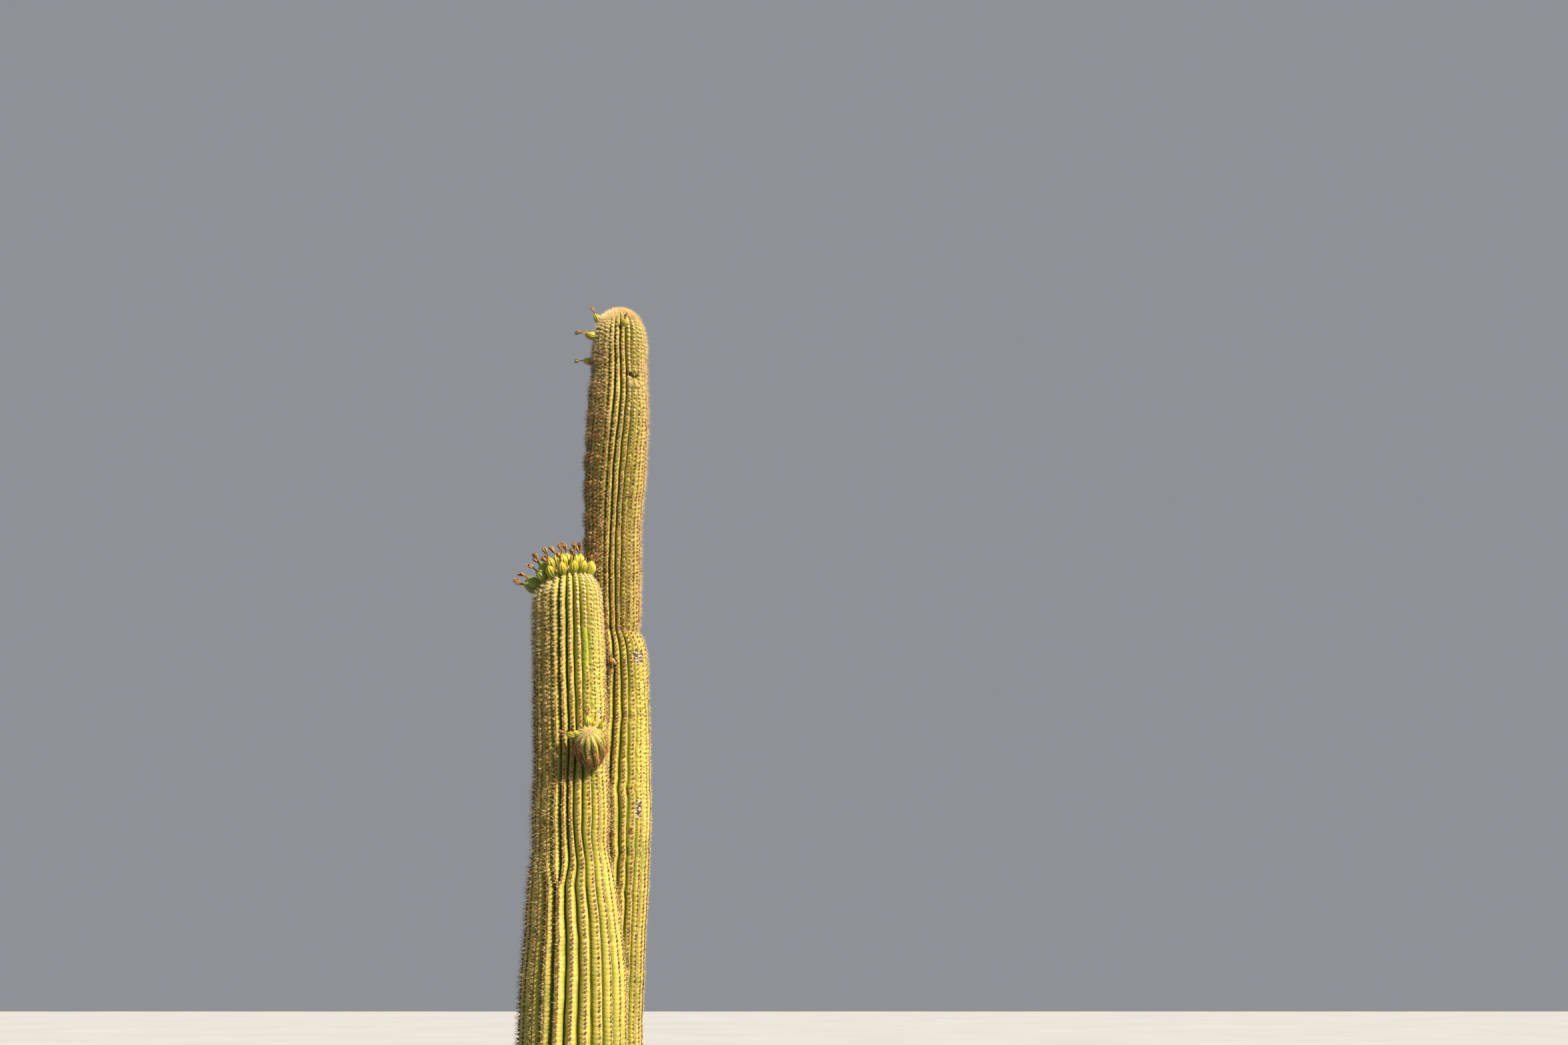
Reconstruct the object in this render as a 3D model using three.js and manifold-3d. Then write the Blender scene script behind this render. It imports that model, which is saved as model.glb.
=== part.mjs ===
// A saguaro cactus: two ribbed stems pressed together from one root, a small young arm, and their green fruit
// with dry flowers still on them. Millimetres, +Z up. The origin is the centre of the flat cut under the
// thick front stem, at ground level, and -Y is the side that the photograph shows.
import * as THREE from "three";
import { mergeVertices } from "three/addons/utils/BufferGeometryUtils.js";
import Module from "manifold-3d";

const wasm = await Module();
wasm.setup();

const GAP = 0.4; // clearance between pieces that touch
const DEGREE = Math.PI / 180; // azimuths run anticlockwise from +X, seen from above

const SKIN = { color: 0xa7a840, roughness: 0.62, metalness: 0 };
const ARM_SKIN = { color: 0x9a9a3c, roughness: 0.62, metalness: 0 };
const FRUIT_SKIN = { color: 0x9fb22e, roughness: 0.45, metalness: 0 };

// A limb stands on its local XY plane. radius holds [height, crest radius] and axis [height, x, y], up to the
// shoulder, where a dome begins. firstGroove holds [height, azimuth], which is what twists the ribs. Each
// fork is a [groove, height] where two ribs join into one below.
const FRONT_STEM = {
  rooted: true,
  shoulder: 3300,
  dome: 200,
  radius: [
    [0, 290], [150, 277], [500, 270], [1150, 268], [1400, 260], [1600, 244], [1780, 227], [1950, 204],
    [2040, 188], [2200, 189], [2420, 184], [2700, 180], [2950, 179], [3300, 174],
  ],
  axis: [
    [0, 0, 0], [1150, 0, 0], [1600, -3, 0], [2050, -26, 0], [2400, -30, 0], [2950, -49, 0], [3300, -64, 0],
  ],
  ribs: 26,
  firstGroove: [[0, 257.7], [3300, 257.7]],
  grooveDepth: 20,
  forks: [[0, 1850], [9, 2010], [17, 2250]],
};

const REAR_STEM = {
  rooted: true,
  shoulder: 4770,
  dome: 182,
  radius: [
    [0, 182], [150, 168], [600, 160], [1400, 157], [2150, 172], [2700, 168], [3060, 163], [3130, 158],
    [3172, 149], [3196, 137], [3240, 143], [3400, 145], [3750, 143], [4100, 156], [4370, 155], [4570, 144],
    [4770, 139],
  ],
  axis: [
    [0, 165, 370], [1150, 165, 370], [1600, 172, 345], [2150, 181, 302], [2980, 168, 296], [3120, 156, 297],
    [3210, 141, 298], [3750, 139, 300], [4370, 155, 300], [4770, 160, 300],
  ],
  ribs: 28,
  firstGroove: [[0, 262], [2400, 261], [2920, 270], [3600, 269], [4050, 271], [4470, 279], [4770, 276]],
  grooveDepth: 16,
  forks: [[10, 3150], [13, 2860], [16, 3100], [19, 2700], [22, 2800], [25, 2600], [27, 2450]],
};

// The arm's own frame has its foot inside the front stem and its z along the arm.
const ARM = {
  rooted: false,
  shoulder: 150,
  dome: 72,
  radius: [[0, 42], [45, 58], [95, 76], [150, 76]],
  axis: [[0, 0, -8], [60, 0, -2], [150, 0, 0]],
  ribs: 12,
  firstGroove: [[0, 15], [150, 15]],
  grooveDepth: 13,
  forks: [],
};
const ARM_FOOT = new THREE.Vector3(92, -118, 2480);
const ARM_TIP = new THREE.Vector3(80, -292, 2621);

// A fruit stands on its local XY plane: [radius, height] of its outline from the sunk foot, over the green
// body and the thin dry neck, to the withered tuft of the flower.
const FRUIT_OUTLINE = [
  [0, -9], [14, -9], [21, 12], [23, 36], [18, 60], [6, 76], [3.5, 98], [12, 124], [0, 141],
];
const FRUIT_SIDES = 8;
const FLOWER_FOOT = 76; // height where the dry flower starts, and where it may bend over

const ROW_STEP = 230; // the rings of a limb are no further apart than this
const FORK_RISE = 150; // height over which two ribs above a fork grow to full width
const FORK_WIDTH = 0.5; // share of that width they start with
const FORK_DEEPENING = 6; // the groove between them grows this many times as fast
const SHOULDER_SHARE = 0.3; // share of a rib's width that slopes down to the groove on each side
const DOME_RINGS = 5;
const DOME_GROOVE_POWER = 1.5; // how fast the grooves run out towards a tip
const FOOT_FADE = 450; // below this height the grooves of a stem grow shallower
const FOOT_SHARE = 0.5; // and this share of their depth is left at the ground

// Cubic curve through rows of [height, value, ...], which gives the values at a height.
function curveAt(rows, height) {
  const last = rows.length - 1;
  const above = rows.findIndex((row) => row[0] > height);
  const i = Math.min(Math.max((above < 0 ? last : above) - 1, 0), last - 1);
  const around = [Math.max(i - 1, 0), i, i + 1, Math.min(i + 2, last)];
  const [before, low, high, after] = around.map((k) => rows[k]);
  const span = high[0] - low[0];
  const t = THREE.MathUtils.clamp((height - low[0]) / span, 0, 1);
  return low.slice(1).map((value, k) => {
    const column = k + 1;
    const slopeLow = (high[column] - before[column]) / (high[0] - before[0]);
    const slopeHigh = (after[column] - low[column]) / (after[0] - low[0]);
    return (
      value * (1 + 2 * t) * (1 - t) ** 2 +
      slopeLow * span * t * (1 - t) ** 2 +
      high[column] * t * t * (3 - 2 * t) +
      slopeHigh * span * t * t * (t - 1)
    );
  });
}

// How far the two ribs of a fork are apart at a height: 0 where they are one rib, and 1 where they are two.
const opened = (forkHeight, height) => THREE.MathUtils.smoothstep(height, forkHeight, forkHeight + FORK_RISE);

// The grooves round a limb at a height: each one's azimuth, its share of the full depth, and the width of the
// rib after it in degrees.
function groovesAt(limb, height) {
  const widths = new Array(limb.ribs).fill(1);
  const depths = new Array(limb.ribs).fill(1);
  for (const [groove, forkHeight] of limb.forks) {
    const open = opened(forkHeight, height);
    const width = THREE.MathUtils.lerp(FORK_WIDTH, 1, open);
    depths[groove] = Math.min(1, FORK_DEEPENING * open);
    widths[groove] = width;
    widths[(groove + limb.ribs - 1) % limb.ribs] = width;
  }
  const unit = 360 / widths.reduce((sum, width) => sum + width, 0);
  let [azimuth] = curveAt(limb.firstGroove, height);
  return widths.map((width, k) => {
    const groove = [azimuth, depths[k], width * unit];
    azimuth += width * unit;
    return groove;
  });
}

// The outline of a limb at a height: a groove's bottom and the two sides of its mouth for each rib.
function sectionAt(limb, height, radius, depth, z) {
  const [x, y] = curveAt(limb.axis, Math.min(height, limb.shoulder));
  const grooves = groovesAt(limb, height);
  return grooves.flatMap(([azimuth, share, width], k) => {
    const widthBefore = grooves[(k + limb.ribs - 1) % limb.ribs][2];
    return [
      [azimuth - widthBefore * SHOULDER_SHARE, radius],
      [azimuth, radius - depth * share],
      [azimuth + width * SHOULDER_SHARE, radius],
    ].map(([angle, r]) => new THREE.Vector3(
      x + r * Math.cos(angle * DEGREE),
      y + r * Math.sin(angle * DEGREE),
      z,
    ));
  });
}

// Heights for a limb's rings: each one in its radius table, and even steps between them.
function ringHeights(limb) {
  const heights = limb.radius.map(([height]) => height);
  return heights.flatMap((height, k) => {
    const span = k + 1 < heights.length ? heights[k + 1] - height : 1;
    const steps = Math.ceil(span / ROW_STEP);
    return Array.from({ length: steps }, (_, step) => height + (span * step) / steps);
  });
}

// The rings of a limb from its foot up to the last one under the tip. grow moves the surface out that much.
function ringsOf(limb, grow) {
  const rings = [];
  for (const height of ringHeights(limb)) {
    const fade = limb.rooted ? THREE.MathUtils.lerp(FOOT_SHARE, 1, Math.min(1, height / FOOT_FADE)) : 1;
    const radius = curveAt(limb.radius, height)[0] + grow;
    rings.push(sectionAt(limb, height, radius, limb.grooveDepth * fade, height));
  }
  const crest = curveAt(limb.radius, limb.shoulder)[0];
  for (let ring = 1; ring < DOME_RINGS; ring++) {
    const angle = (90 * DEGREE * ring) / DOME_RINGS;
    const z = limb.shoulder + (limb.dome + grow) * Math.sin(angle);
    const radius = (crest + grow) * Math.cos(angle);
    const depth = limb.grooveDepth * Math.cos(angle) ** DOME_GROOVE_POWER;
    rings.push(sectionAt(limb, limb.shoulder, radius, depth, z));
  }
  return rings;
}

// A closed surface over rings of equal length, with a flat foot and a point at the tip.
function limbGeometry(limb, grow = 0) {
  const rings = ringsOf(limb, grow);
  const sides = rings[0].length;
  const [footX, footY] = curveAt(limb.axis, 0);
  const [tipX, tipY] = curveAt(limb.axis, limb.shoulder);
  const points = rings.flat();
  const foot = points.push(new THREE.Vector3(footX, footY, 0)) - 1;
  const tip = points.push(new THREE.Vector3(tipX, tipY, limb.shoulder + limb.dome + grow)) - 1;
  const faces = [];
  const topRing = (rings.length - 1) * sides;
  for (let k = 0; k < sides; k++) {
    const next = (k + 1) % sides;
    for (let base = 0; base < topRing; base += sides) {
      faces.push(base + k, base + next, base + sides + next);
      faces.push(base + k, base + sides + next, base + sides + k);
    }
    faces.push(foot, next, k);
    faces.push(tip, topRing + k, topRing + next);
  }
  return new THREE.BufferGeometry().setFromPoints(points).setIndex(faces);
}

// A geometry as a manifold-3d solid, from its positions alone.
function toSolid(geometry) {
  const bare = new THREE.BufferGeometry().setAttribute("position", geometry.getAttribute("position"));
  bare.setIndex(geometry.getIndex());
  const merged = mergeVertices(bare, 1e-3);
  return new wasm.Manifold(new wasm.Mesh({
    numProp: 3,
    vertProperties: new Float32Array(merged.getAttribute("position").array),
    triVerts: new Uint32Array(merged.getIndex().array),
  }));
}

function toGeometry(solid) {
  const { vertProperties, triVerts } = solid.getMesh();
  const geometry = new THREE.BufferGeometry();
  geometry.setAttribute("position", new THREE.BufferAttribute(vertProperties, 3));
  return geometry.setIndex(new THREE.BufferAttribute(triVerts, 1));
}

// Cuts a mesh back by a limb that has been grown by the gap, so that it sits on the limb without touching it.
function seatOn(mesh, limb, limbMesh) {
  mesh.updateWorldMatrix(true, false);
  limbMesh.updateWorldMatrix(true, false);
  const intoMesh = mesh.matrixWorld.clone().invert().multiply(limbMesh.matrixWorld);
  const cutter = toSolid(limbGeometry(limb, GAP)).transform(intoMesh.elements);
  mesh.geometry = toGeometry(toSolid(mesh.geometry).subtract(cutter));
}

function namedMesh(name, geometry, look) {
  const mesh = new THREE.Mesh(geometry, new THREE.MeshStandardMaterial({ ...look, flatShading: true }));
  mesh.name = name;
  return mesh;
}

// Where a limb's crests are at a height and azimuth, and the way out of the surface there, in its own frame.
function seatAt(limb, height, azimuth) {
  const rise = Math.max(0, height - limb.shoulder) / limb.dome;
  const crest = curveAt(limb.radius, Math.min(height, limb.shoulder))[0];
  const [x, y] = curveAt(limb.axis, Math.min(height, limb.shoulder));
  const out = new THREE.Vector3(Math.cos(azimuth * DEGREE), Math.sin(azimuth * DEGREE), 0);
  const reach = Math.sqrt(1 - rise * rise);
  const point = out.clone().multiplyScalar(crest * reach).add(new THREE.Vector3(x, y, height));
  const normal = out.multiplyScalar(reach / crest).setZ(rise / limb.dome).normalize();
  return { point, normal };
}

// A fruit of a size, whose dry flower hangs over sideways by bend at its end.
function fruitGeometry(size, bend) {
  const outline = FRUIT_OUTLINE.map(([radius, height]) => new THREE.Vector2(radius, height));
  const geometry = new THREE.LatheGeometry(outline, FRUIT_SIDES);
  geometry.rotateX(Math.PI / 2);
  const position = geometry.getAttribute("position");
  const flowerLength = FRUIT_OUTLINE.at(-1)[1] - FLOWER_FOOT;
  for (let i = 0; i < position.count; i++) {
    const along = Math.max(0, position.getZ(i) - FLOWER_FOOT) / flowerLength;
    position.setX(i, position.getX(i) + bend * along * along);
  }
  return geometry.scale(size, size, size);
}

// Adds one fruit to a limb. rise swings it from the skin's normal to the way up, and its flower bends to the
// limb's foot, or roll degrees round from there.
function addFruit(group, limb, limbMesh, name, seat, up, { rise, size, bend, roll }) {
  const way = seat.normal.clone().lerp(up, rise).normalize();
  const side = new THREE.Vector3(0, 0, 1).cross(way).normalize();
  const mesh = namedMesh(name, fruitGeometry(size, bend), FRUIT_SKIN);
  mesh.position.copy(seat.point);
  mesh.setRotationFromMatrix(new THREE.Matrix4().makeBasis(side.clone().cross(way), side, way));
  mesh.rotateZ(roll * DEGREE);
  group.add(mesh);
  seatOn(mesh, limb, limbMesh);
}

// A value from -1 to 1 that looks random but is the same on each run.
const scatter = (n, kind) => Math.sin(12.9898 * n + 4.1414 * kind);

// Three oval rows of fruit round the front stem's tip. They stand to the left of its middle and lean left.
const CROWN_MIDDLE = -26;
const CROWN_ROWS = [
  { count: 16, reachX: 136, reachY: 124, start: 6 },
  { count: 10, reachX: 86, reachY: 76, start: 22 },
  { count: 4, reachX: 36, reachY: 30, start: 50 },
];
const CROWN_UP = new THREE.Vector3(-0.2, 0, 0.98);
const REAR_STEM_AZIMUTH = 53; // fruit on the side of the rear stem stand up more, clear of it

// What each crown fruit is given: a base value, more towards the tip or near the rear stem, and a scatter.
const CROWN_TURN = { vary: 3 };
const CROWN_RISE = { base: 0.1, inward: 0.5, near: 0.3, vary: 0.08 };
const CROWN_SIZE = { base: 0.9, near: 0.08, vary: 0.05 };
const CROWN_BEND = { base: 14, vary: 10 };
const CROWN_ROLL = { vary: 60 };

function addCrownFruit(group, limbMesh) {
  const crest = curveAt(FRONT_STEM.radius, FRONT_STEM.shoulder)[0];
  let number = 0;
  for (const { count, reachX, reachY, start } of CROWN_ROWS) {
    for (let k = 0; k < count; k++) {
      number++;
      const turn = start + (360 * k) / count + CROWN_TURN.vary * scatter(number, 1);
      const x = CROWN_MIDDLE + reachX * Math.cos(turn * DEGREE);
      const y = reachY * Math.sin(turn * DEGREE);
      const reach = Math.hypot(x, y) / crest;
      const height = FRONT_STEM.shoulder + FRONT_STEM.dome * Math.sqrt(1 - reach * reach);
      const seat = seatAt(FRONT_STEM, height, Math.atan2(y, x) / DEGREE);
      const near = Math.max(0, Math.cos((turn - REAR_STEM_AZIMUTH) * DEGREE));
      const inward = CROWN_RISE.inward * (1 - reach);
      addFruit(group, FRONT_STEM, limbMesh, `front_fruit_${number}`, seat, CROWN_UP, {
        rise: CROWN_RISE.base + inward + CROWN_RISE.near * near + CROWN_RISE.vary * scatter(number, 2),
        size: CROWN_SIZE.base + CROWN_SIZE.near * near + CROWN_SIZE.vary * scatter(number, 4),
        bend: CROWN_BEND.base + CROWN_BEND.vary * scatter(number, 5),
        roll: CROWN_ROLL.vary * scatter(number, 3),
      });
    }
  }
}

// The few fruit beside the rear stem's tip.
const REAR_FRUIT = [
  { height: 4884, azimuth: 188, rise: 0.52, size: 0.76, bend: 2, roll: 0 },
  { height: 4812, azimuth: 176, rise: 0.2, size: 0.82, bend: 28, roll: 0 },
  { height: 4797, azimuth: 208, rise: 0.04, size: 0.66, bend: 4, roll: 0 },
  { height: 4674, azimuth: 184, rise: 0.02, size: 0.74, bend: 8, roll: 0 },
  { height: 4836, azimuth: 284, rise: 0.5, size: 0.56, bend: 22, roll: 120 },
];

// The fruit round the arm's tip, in the arm's own frame.
const ARM_FRUIT = [
  { height: 192, azimuth: 101, rise: 0.3, size: 0.68, bend: 4, roll: 180 },
  { height: 188, azimuth: 44, rise: 0.35, size: 0.55, bend: 26, roll: 80 },
  { height: 194, azimuth: 74, rise: 0.35, size: 0.38, bend: 6, roll: 0 },
  { height: 203, azimuth: 197, rise: 0.25, size: 0.56, bend: 26, roll: 165 },
  { height: 160, azimuth: 165, rise: 0.1, size: 0.7, bend: 10, roll: 40 },
];

function addListedFruit(group, limb, limbMesh, prefix, list) {
  const up = new THREE.Vector3(0, 0, 1);
  list.forEach((fruit, k) => {
    const seat = seatAt(limb, fruit.height, fruit.azimuth);
    addFruit(group, limb, limbMesh, `${prefix}_${k + 1}`, seat, up, fruit);
  });
}

// The arm's group: its z runs from its foot to its tip, and its y keeps as near to straight up as it can.
function armGroup() {
  const group = new THREE.Group();
  const along = ARM_TIP.clone().sub(ARM_FOOT).normalize();
  const side = new THREE.Vector3().crossVectors(new THREE.Vector3(0, 0, 1), along).normalize();
  const upper = new THREE.Vector3().crossVectors(along, side);
  group.setRotationFromMatrix(new THREE.Matrix4().makeBasis(side, upper, along));
  group.position.copy(ARM_FOOT);
  return group;
}

function saguaro() {
  const plant = new THREE.Group();
  const front = namedMesh("front_stem", limbGeometry(FRONT_STEM), SKIN);
  const rear = namedMesh("rear_stem", limbGeometry(REAR_STEM), SKIN);
  plant.add(front, rear);
  seatOn(rear, FRONT_STEM, front);
  addCrownFruit(plant, front);
  addListedFruit(plant, REAR_STEM, rear, "rear_fruit", REAR_FRUIT);

  const young = armGroup();
  const arm = namedMesh("small_arm", limbGeometry(ARM), ARM_SKIN);
  plant.add(young);
  young.add(arm);
  seatOn(arm, FRONT_STEM, front);
  addListedFruit(young, ARM, arm, "arm_fruit", ARM_FRUIT);
  return plant;
}

export default saguaro();
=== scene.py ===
# Looks of the saguaro: ribbed skins with relief, spine cushions, spines, fruit and dry flowers, all on the
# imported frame. Sizes of the plant are millimetres, as in its solids, and become metres in mesh_piece().
import math

import bpy
import numpy as np
from mathutils import Euler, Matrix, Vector


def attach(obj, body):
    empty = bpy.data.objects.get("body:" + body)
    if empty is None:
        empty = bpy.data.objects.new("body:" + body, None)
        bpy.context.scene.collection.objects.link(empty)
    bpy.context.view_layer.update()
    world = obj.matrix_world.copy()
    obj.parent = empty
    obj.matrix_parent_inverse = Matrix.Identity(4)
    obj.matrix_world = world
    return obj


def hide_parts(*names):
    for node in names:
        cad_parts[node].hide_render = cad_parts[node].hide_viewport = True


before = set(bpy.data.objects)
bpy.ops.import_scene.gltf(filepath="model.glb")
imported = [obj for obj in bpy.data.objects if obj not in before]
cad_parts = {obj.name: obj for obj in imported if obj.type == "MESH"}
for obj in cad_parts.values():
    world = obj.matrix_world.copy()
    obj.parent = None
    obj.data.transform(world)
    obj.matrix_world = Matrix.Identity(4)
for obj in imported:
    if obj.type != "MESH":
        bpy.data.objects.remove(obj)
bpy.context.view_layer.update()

METRE = 0.001  # metres in a millimetre
BODY = "root"

# The limbs, as in the solids, but with grooves 4 to 6 deeper on the stems and 4 shallower on the arm. radius
# holds [height, crest radius] and axis [height, x, y], up to the shoulder, where a dome begins. Forks are
# [groove, height], where two ribs join into one below, and creases [height, azimuth, half spread in degrees,
# depth, half height]. Kinks are [height, degrees, half height] and scars [kind, height, azimuth, half height,
# half width]. Patches are [height, azimuth, half height, half spread]: the ribs are shallow and bumpy in one,
# smooth and bare in another, shaggy with long spines, or marked by dry ones. Swerves are patches too, with
# the degrees that the ribs shift there.
FRONT_STEM = dict(
    shoulder=3300,
    dome=200,
    radius=[
        [0, 290], [150, 277], [500, 270], [1150, 268], [1400, 260], [1600, 244], [1780, 227], [1950, 204],
        [2040, 188], [2200, 189], [2420, 184], [2700, 180], [2950, 179], [3300, 174],
    ],
    axis=[
        [0, 0, 0], [1150, 0, 0], [1600, -3, 0], [2050, -26, 0], [2400, -30, 0], [2950, -49, 0],
        [3300, -64, 0],
    ],
    ribs=26,
    first_groove=[[0, 257.7], [3300, 257.7]],
    groove_depth=26,
    forks=[[0, 1850], [9, 2010], [17, 2250]],
    creases=[
        [1623, 273.3, 1.6, 10, 9], [1621, 288.3, 1.6, 10, 10], [1624, 304.2, 1.5, 10, 9],
        [1590, 325, 9, 4, 6], [3164, 304, 5, 3, 6], [2991, 304, 6, 4, 6], [1612, 259, 5, 4, 6],
        [2313, 303, 4, 5, 7],
    ],
    kinks=[[1605, 0.5, 26]],
    swerves=[[2235, 292, 250, 17, -8]],
    patches=dict(bumpy=[2790, 330, 400, 24], smooth=[3070, 304, 108, 7]),
    scars=[
        ["pale", 2951, 321, 15, 9], ["pale", 2735, 334, 34, 16], ["pale", 2430, 351, 30, 16],
        ["brown", 2313, 303, 9, 7], ["pale", 2760, 118, 60, 22], ["brown", 1980, 60, 22, 9],
    ],
)
REAR_STEM = dict(
    shoulder=4770,
    dome=182,
    radius=[
        [0, 182], [150, 168], [600, 160], [1400, 157], [2150, 172], [2700, 168], [3060, 163],
        [3130, 158], [3172, 149], [3196, 137], [3240, 143], [3400, 145], [3750, 143], [4100, 156],
        [4370, 155], [4570, 144], [4770, 139],
    ],
    axis=[
        [0, 165, 370], [1150, 165, 370], [1600, 172, 345], [2150, 181, 302], [2980, 168, 296],
        [3120, 156, 297], [3210, 141, 298], [3750, 139, 300], [4370, 155, 300], [4770, 160, 300],
    ],
    ribs=28,
    first_groove=[[0, 262], [2400, 261], [2920, 270], [3600, 269], [4050, 271], [4470, 279], [4770, 276]],
    groove_depth=20,
    forks=[[10, 3150], [13, 2860], [16, 3100], [19, 2700], [22, 2800], [25, 2600], [27, 2450]],
    creases=[
        [3196, 0, 400, 5, 8], [3895, 322, 30, 5, 9], [4568, 307, 14, 30, 11], [4600, 309, 17, -8, 20],
        [4524, 305, 15, -5, 18], [2735, 296, 22, 5, 8], [2368, 304, 20, 5, 8], [2035, 292, 22, 5, 8],
        [1840, 305, 14, 5, 8], [1470, 302, 20, 5, 8], [4180, 330, 16, 3, 8], [3560, 335, 20, 3, 8],
    ],
    kinks=[
        [3196, 0.3, 26], [2735, 1.5, 24], [2368, -2.0, 26], [2035, 2.2, 26], [1840, -1.6, 24],
        [1470, 1.5, 24],
    ],
    swerves=[],
    patches=dict(bumpy=[2650, 340, 500, 26], shaggy=[4030, 206, 860, 46], dry=[4540, 307, 16, 13]),
    scars=[
        ["pale", 3052, 322, 50, 30], ["brown", 3024, 273, 14, 8], ["brown", 2345, 294, 16, 9],
        ["pale", 2262, 316, 52, 20], ["brown", 2150, 299, 18, 9], ["pale", 3560, 70, 60, 26],
    ],
)
ARM = dict(
    shoulder=150,
    dome=72,
    radius=[[0, 42], [45, 58], [95, 76], [150, 76]],
    axis=[[0, 0, -8], [60, 0, -2], [150, 0, 0]],
    ribs=12,
    first_groove=[[0, 15], [150, 15]],
    groove_depth=9,
    forks=[],
    creases=[],
    kinks=[],
    swerves=[],
    patches=dict(smooth=[40, 40, 30, 60]),
    scars=[["pale", 62, 40, 34, 36]],
)
ARM_FOOT = np.array([92.0, -118.0, 2480.0])
ARM_TIP = np.array([80.0, -292.0, 2621.0])
UP = np.array([0.0, 0.0, 1.0])

FORK_RISE = 150  # height over which two ribs above a fork grow to full width
FORK_WIDTH = 0.5  # share of that width that they start with
FORK_DEEPENING = 6  # their groove is at full depth once they are a sixth of the way
FOOT_FADE = 450  # below this height a stem's grooves are shallower
FOOT_SHARE = 0.5  # share of their depth that is left at the ground
DOME_GROOVE_POWER = 2.2  # how soon the grooves run out on the dome

# Detail of the skin.
ROWS_PER_CUSHION = 3
STATION_STEPS = 4000  # in a limb's table of cushion counts
TIP_CROWDING = 0.5  # the cushions' spacing at the tip, as a share of that lower down
RIB_ROUNDING = 0.5  # 0 would give the ribs a sharp crest
SLIT_SHARE = 0.35  # depth of a groove's narrow bottom, as a share of the groove's own
SLIT_WIDTH = 4
TUBERCLE_WIDTH = 13
TUBERCLE_LEVEL = 0.4  # share of a tubercle's beat that lies below the plain skin
TUBERCLE_GROWTH = (0.3, 0.8)  # shares of a limb's length between which tubercles grow to full size
LOW_TUBERCLE = 0.8
FLANK_BULGE = 0.35  # share of a tubercle that goes on down the rib's flank
BUMPY_SIDE = 335  # azimuth of the side where the ribs bulge most between their creases
BUMPY_GAIN = 0.15
BUMPY_PATCH_GAIN = 0.5
BUMPY_PATCH_DEPTH = 0.25  # share of the grooves' depth that is left in a bumpy patch
GROOVE_SHADE_LOST, FELT_LOST = 0.7, 0.6  # shares of the grooves' painted shade and of the felt's colour that a bumpy patch lacks
STAIN_WIDTH = 8  # the skin is stained round the cushions
FELT_WIDTH = 9  # the crests are tan from the felt round their cushions
FELT_BETWEEN = 0.6  # share of that felt midway between two cushions
SHAGGY_TONE = (0.6, 0.4)  # darkness of shaggy skin, the brown of dense spines with their shade painted in, and how much its bands change that
JAG, JAG_TURN = 6, 2.4  # unevenness of a crease from rib to rib
STRAIGHT_SPREAD = 5  # creases of no more degrees than this are straight
CREASE_SAG = 0.35  # how far a fine crease sags towards the groove, as a share of the cushion spacing
WOBBLES = [(610, 2.4), (170, 1.0)]  # wavelength along the rib and sideways swing of a groove
SWELLS = [(430, 1.2), (150, 0.6)]  # wavelength and height of slow swellings of the whole limb
SPACING_SWINGS = [(143, 0.16), (61, 0.07)]  # wavelength along the rib, and swing in cushion spacings
NOTCH_SPACING = (260, 620)
NOTCH_DEPTH = (1.5, 4.5)
NOTCH_HALF_HEIGHT = (5, 9)
NOTCH_HALF_WIDTH = 26
NOTCH_STEP = 2  # the notch table's step along a rib
SLOPE_STEP = 5.0  # a limb's taper is taken from this far below a place to this far above


def curve_at(rows, heights):
    """Cubic curve through rows of [height, value, ...]: the values at each height."""
    rows = np.asarray(rows, float)
    last = len(rows) - 1
    i = np.clip(np.searchsorted(rows[:, 0], heights, side="right") - 1, 0, last - 1)
    low, high = rows[i], rows[i + 1]
    before, after = rows[np.maximum(i - 1, 0)], rows[np.minimum(i + 2, last)]
    span = high[:, :1] - low[:, :1]
    t = np.clip((np.asarray(heights)[:, None] - low[:, :1]) / span, 0, 1)
    slope_low = (high[:, 1:] - before[:, 1:]) / (high[:, :1] - before[:, :1])
    slope_high = (after[:, 1:] - low[:, 1:]) / (after[:, :1] - low[:, :1])
    return (
        low[:, 1:] * (1 + 2 * t) * (1 - t) ** 2
        + slope_low * span * t * (1 - t) ** 2
        + high[:, 1:] * t * t * (3 - 2 * t)
        + slope_high * span * t * t * (t - 1)
    )


def smoothstep(value, low, high):
    t = np.clip((value - low) / (high - low), 0, 1)
    return t * t * (3 - 2 * t)


def lerp(low, high, share):
    return low + (high - low) * share


def bell(distance, width):
    return np.exp(-((distance / width) ** 2))


def unit(vectors):
    return vectors / np.linalg.norm(vectors, axis=-1, keepdims=True)


def level_side(way):
    """The level direction that is square to another one."""
    return unit(np.cross(UP, way))


def even_turns(sides):
    return np.arange(sides) * 2 * math.pi / sides


def ways_at(turn):
    """The level ways out of an upright axis and round it, at one turn or several."""
    level = np.zeros_like(turn)
    out = np.stack([np.cos(turn), np.sin(turn), level], -1)
    return out, np.stack([-np.sin(turn), np.cos(turn), level], -1)


def swings(waves, place, phases):
    """Sum of waves of (wavelength, height), each with its own phase or phases."""
    return sum(
        height * np.sin(2 * math.pi * place / length + phase)
        for (length, height), phase in zip(waves, phases)
    )


def turned(azimuth, start):
    """Degrees from one azimuth to another, -180 to 180."""
    return (azimuth - start + 180) % 360 - 180


def flank(share):
    """Fall of a rib's flank from its crest, 0, to the groove, 1: straight, with a rounded crest."""
    full = math.sqrt(1 + RIB_ROUNDING**2) - RIB_ROUNDING
    return (np.sqrt(share**2 + RIB_ROUNDING**2) - RIB_ROUNDING) / full


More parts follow.
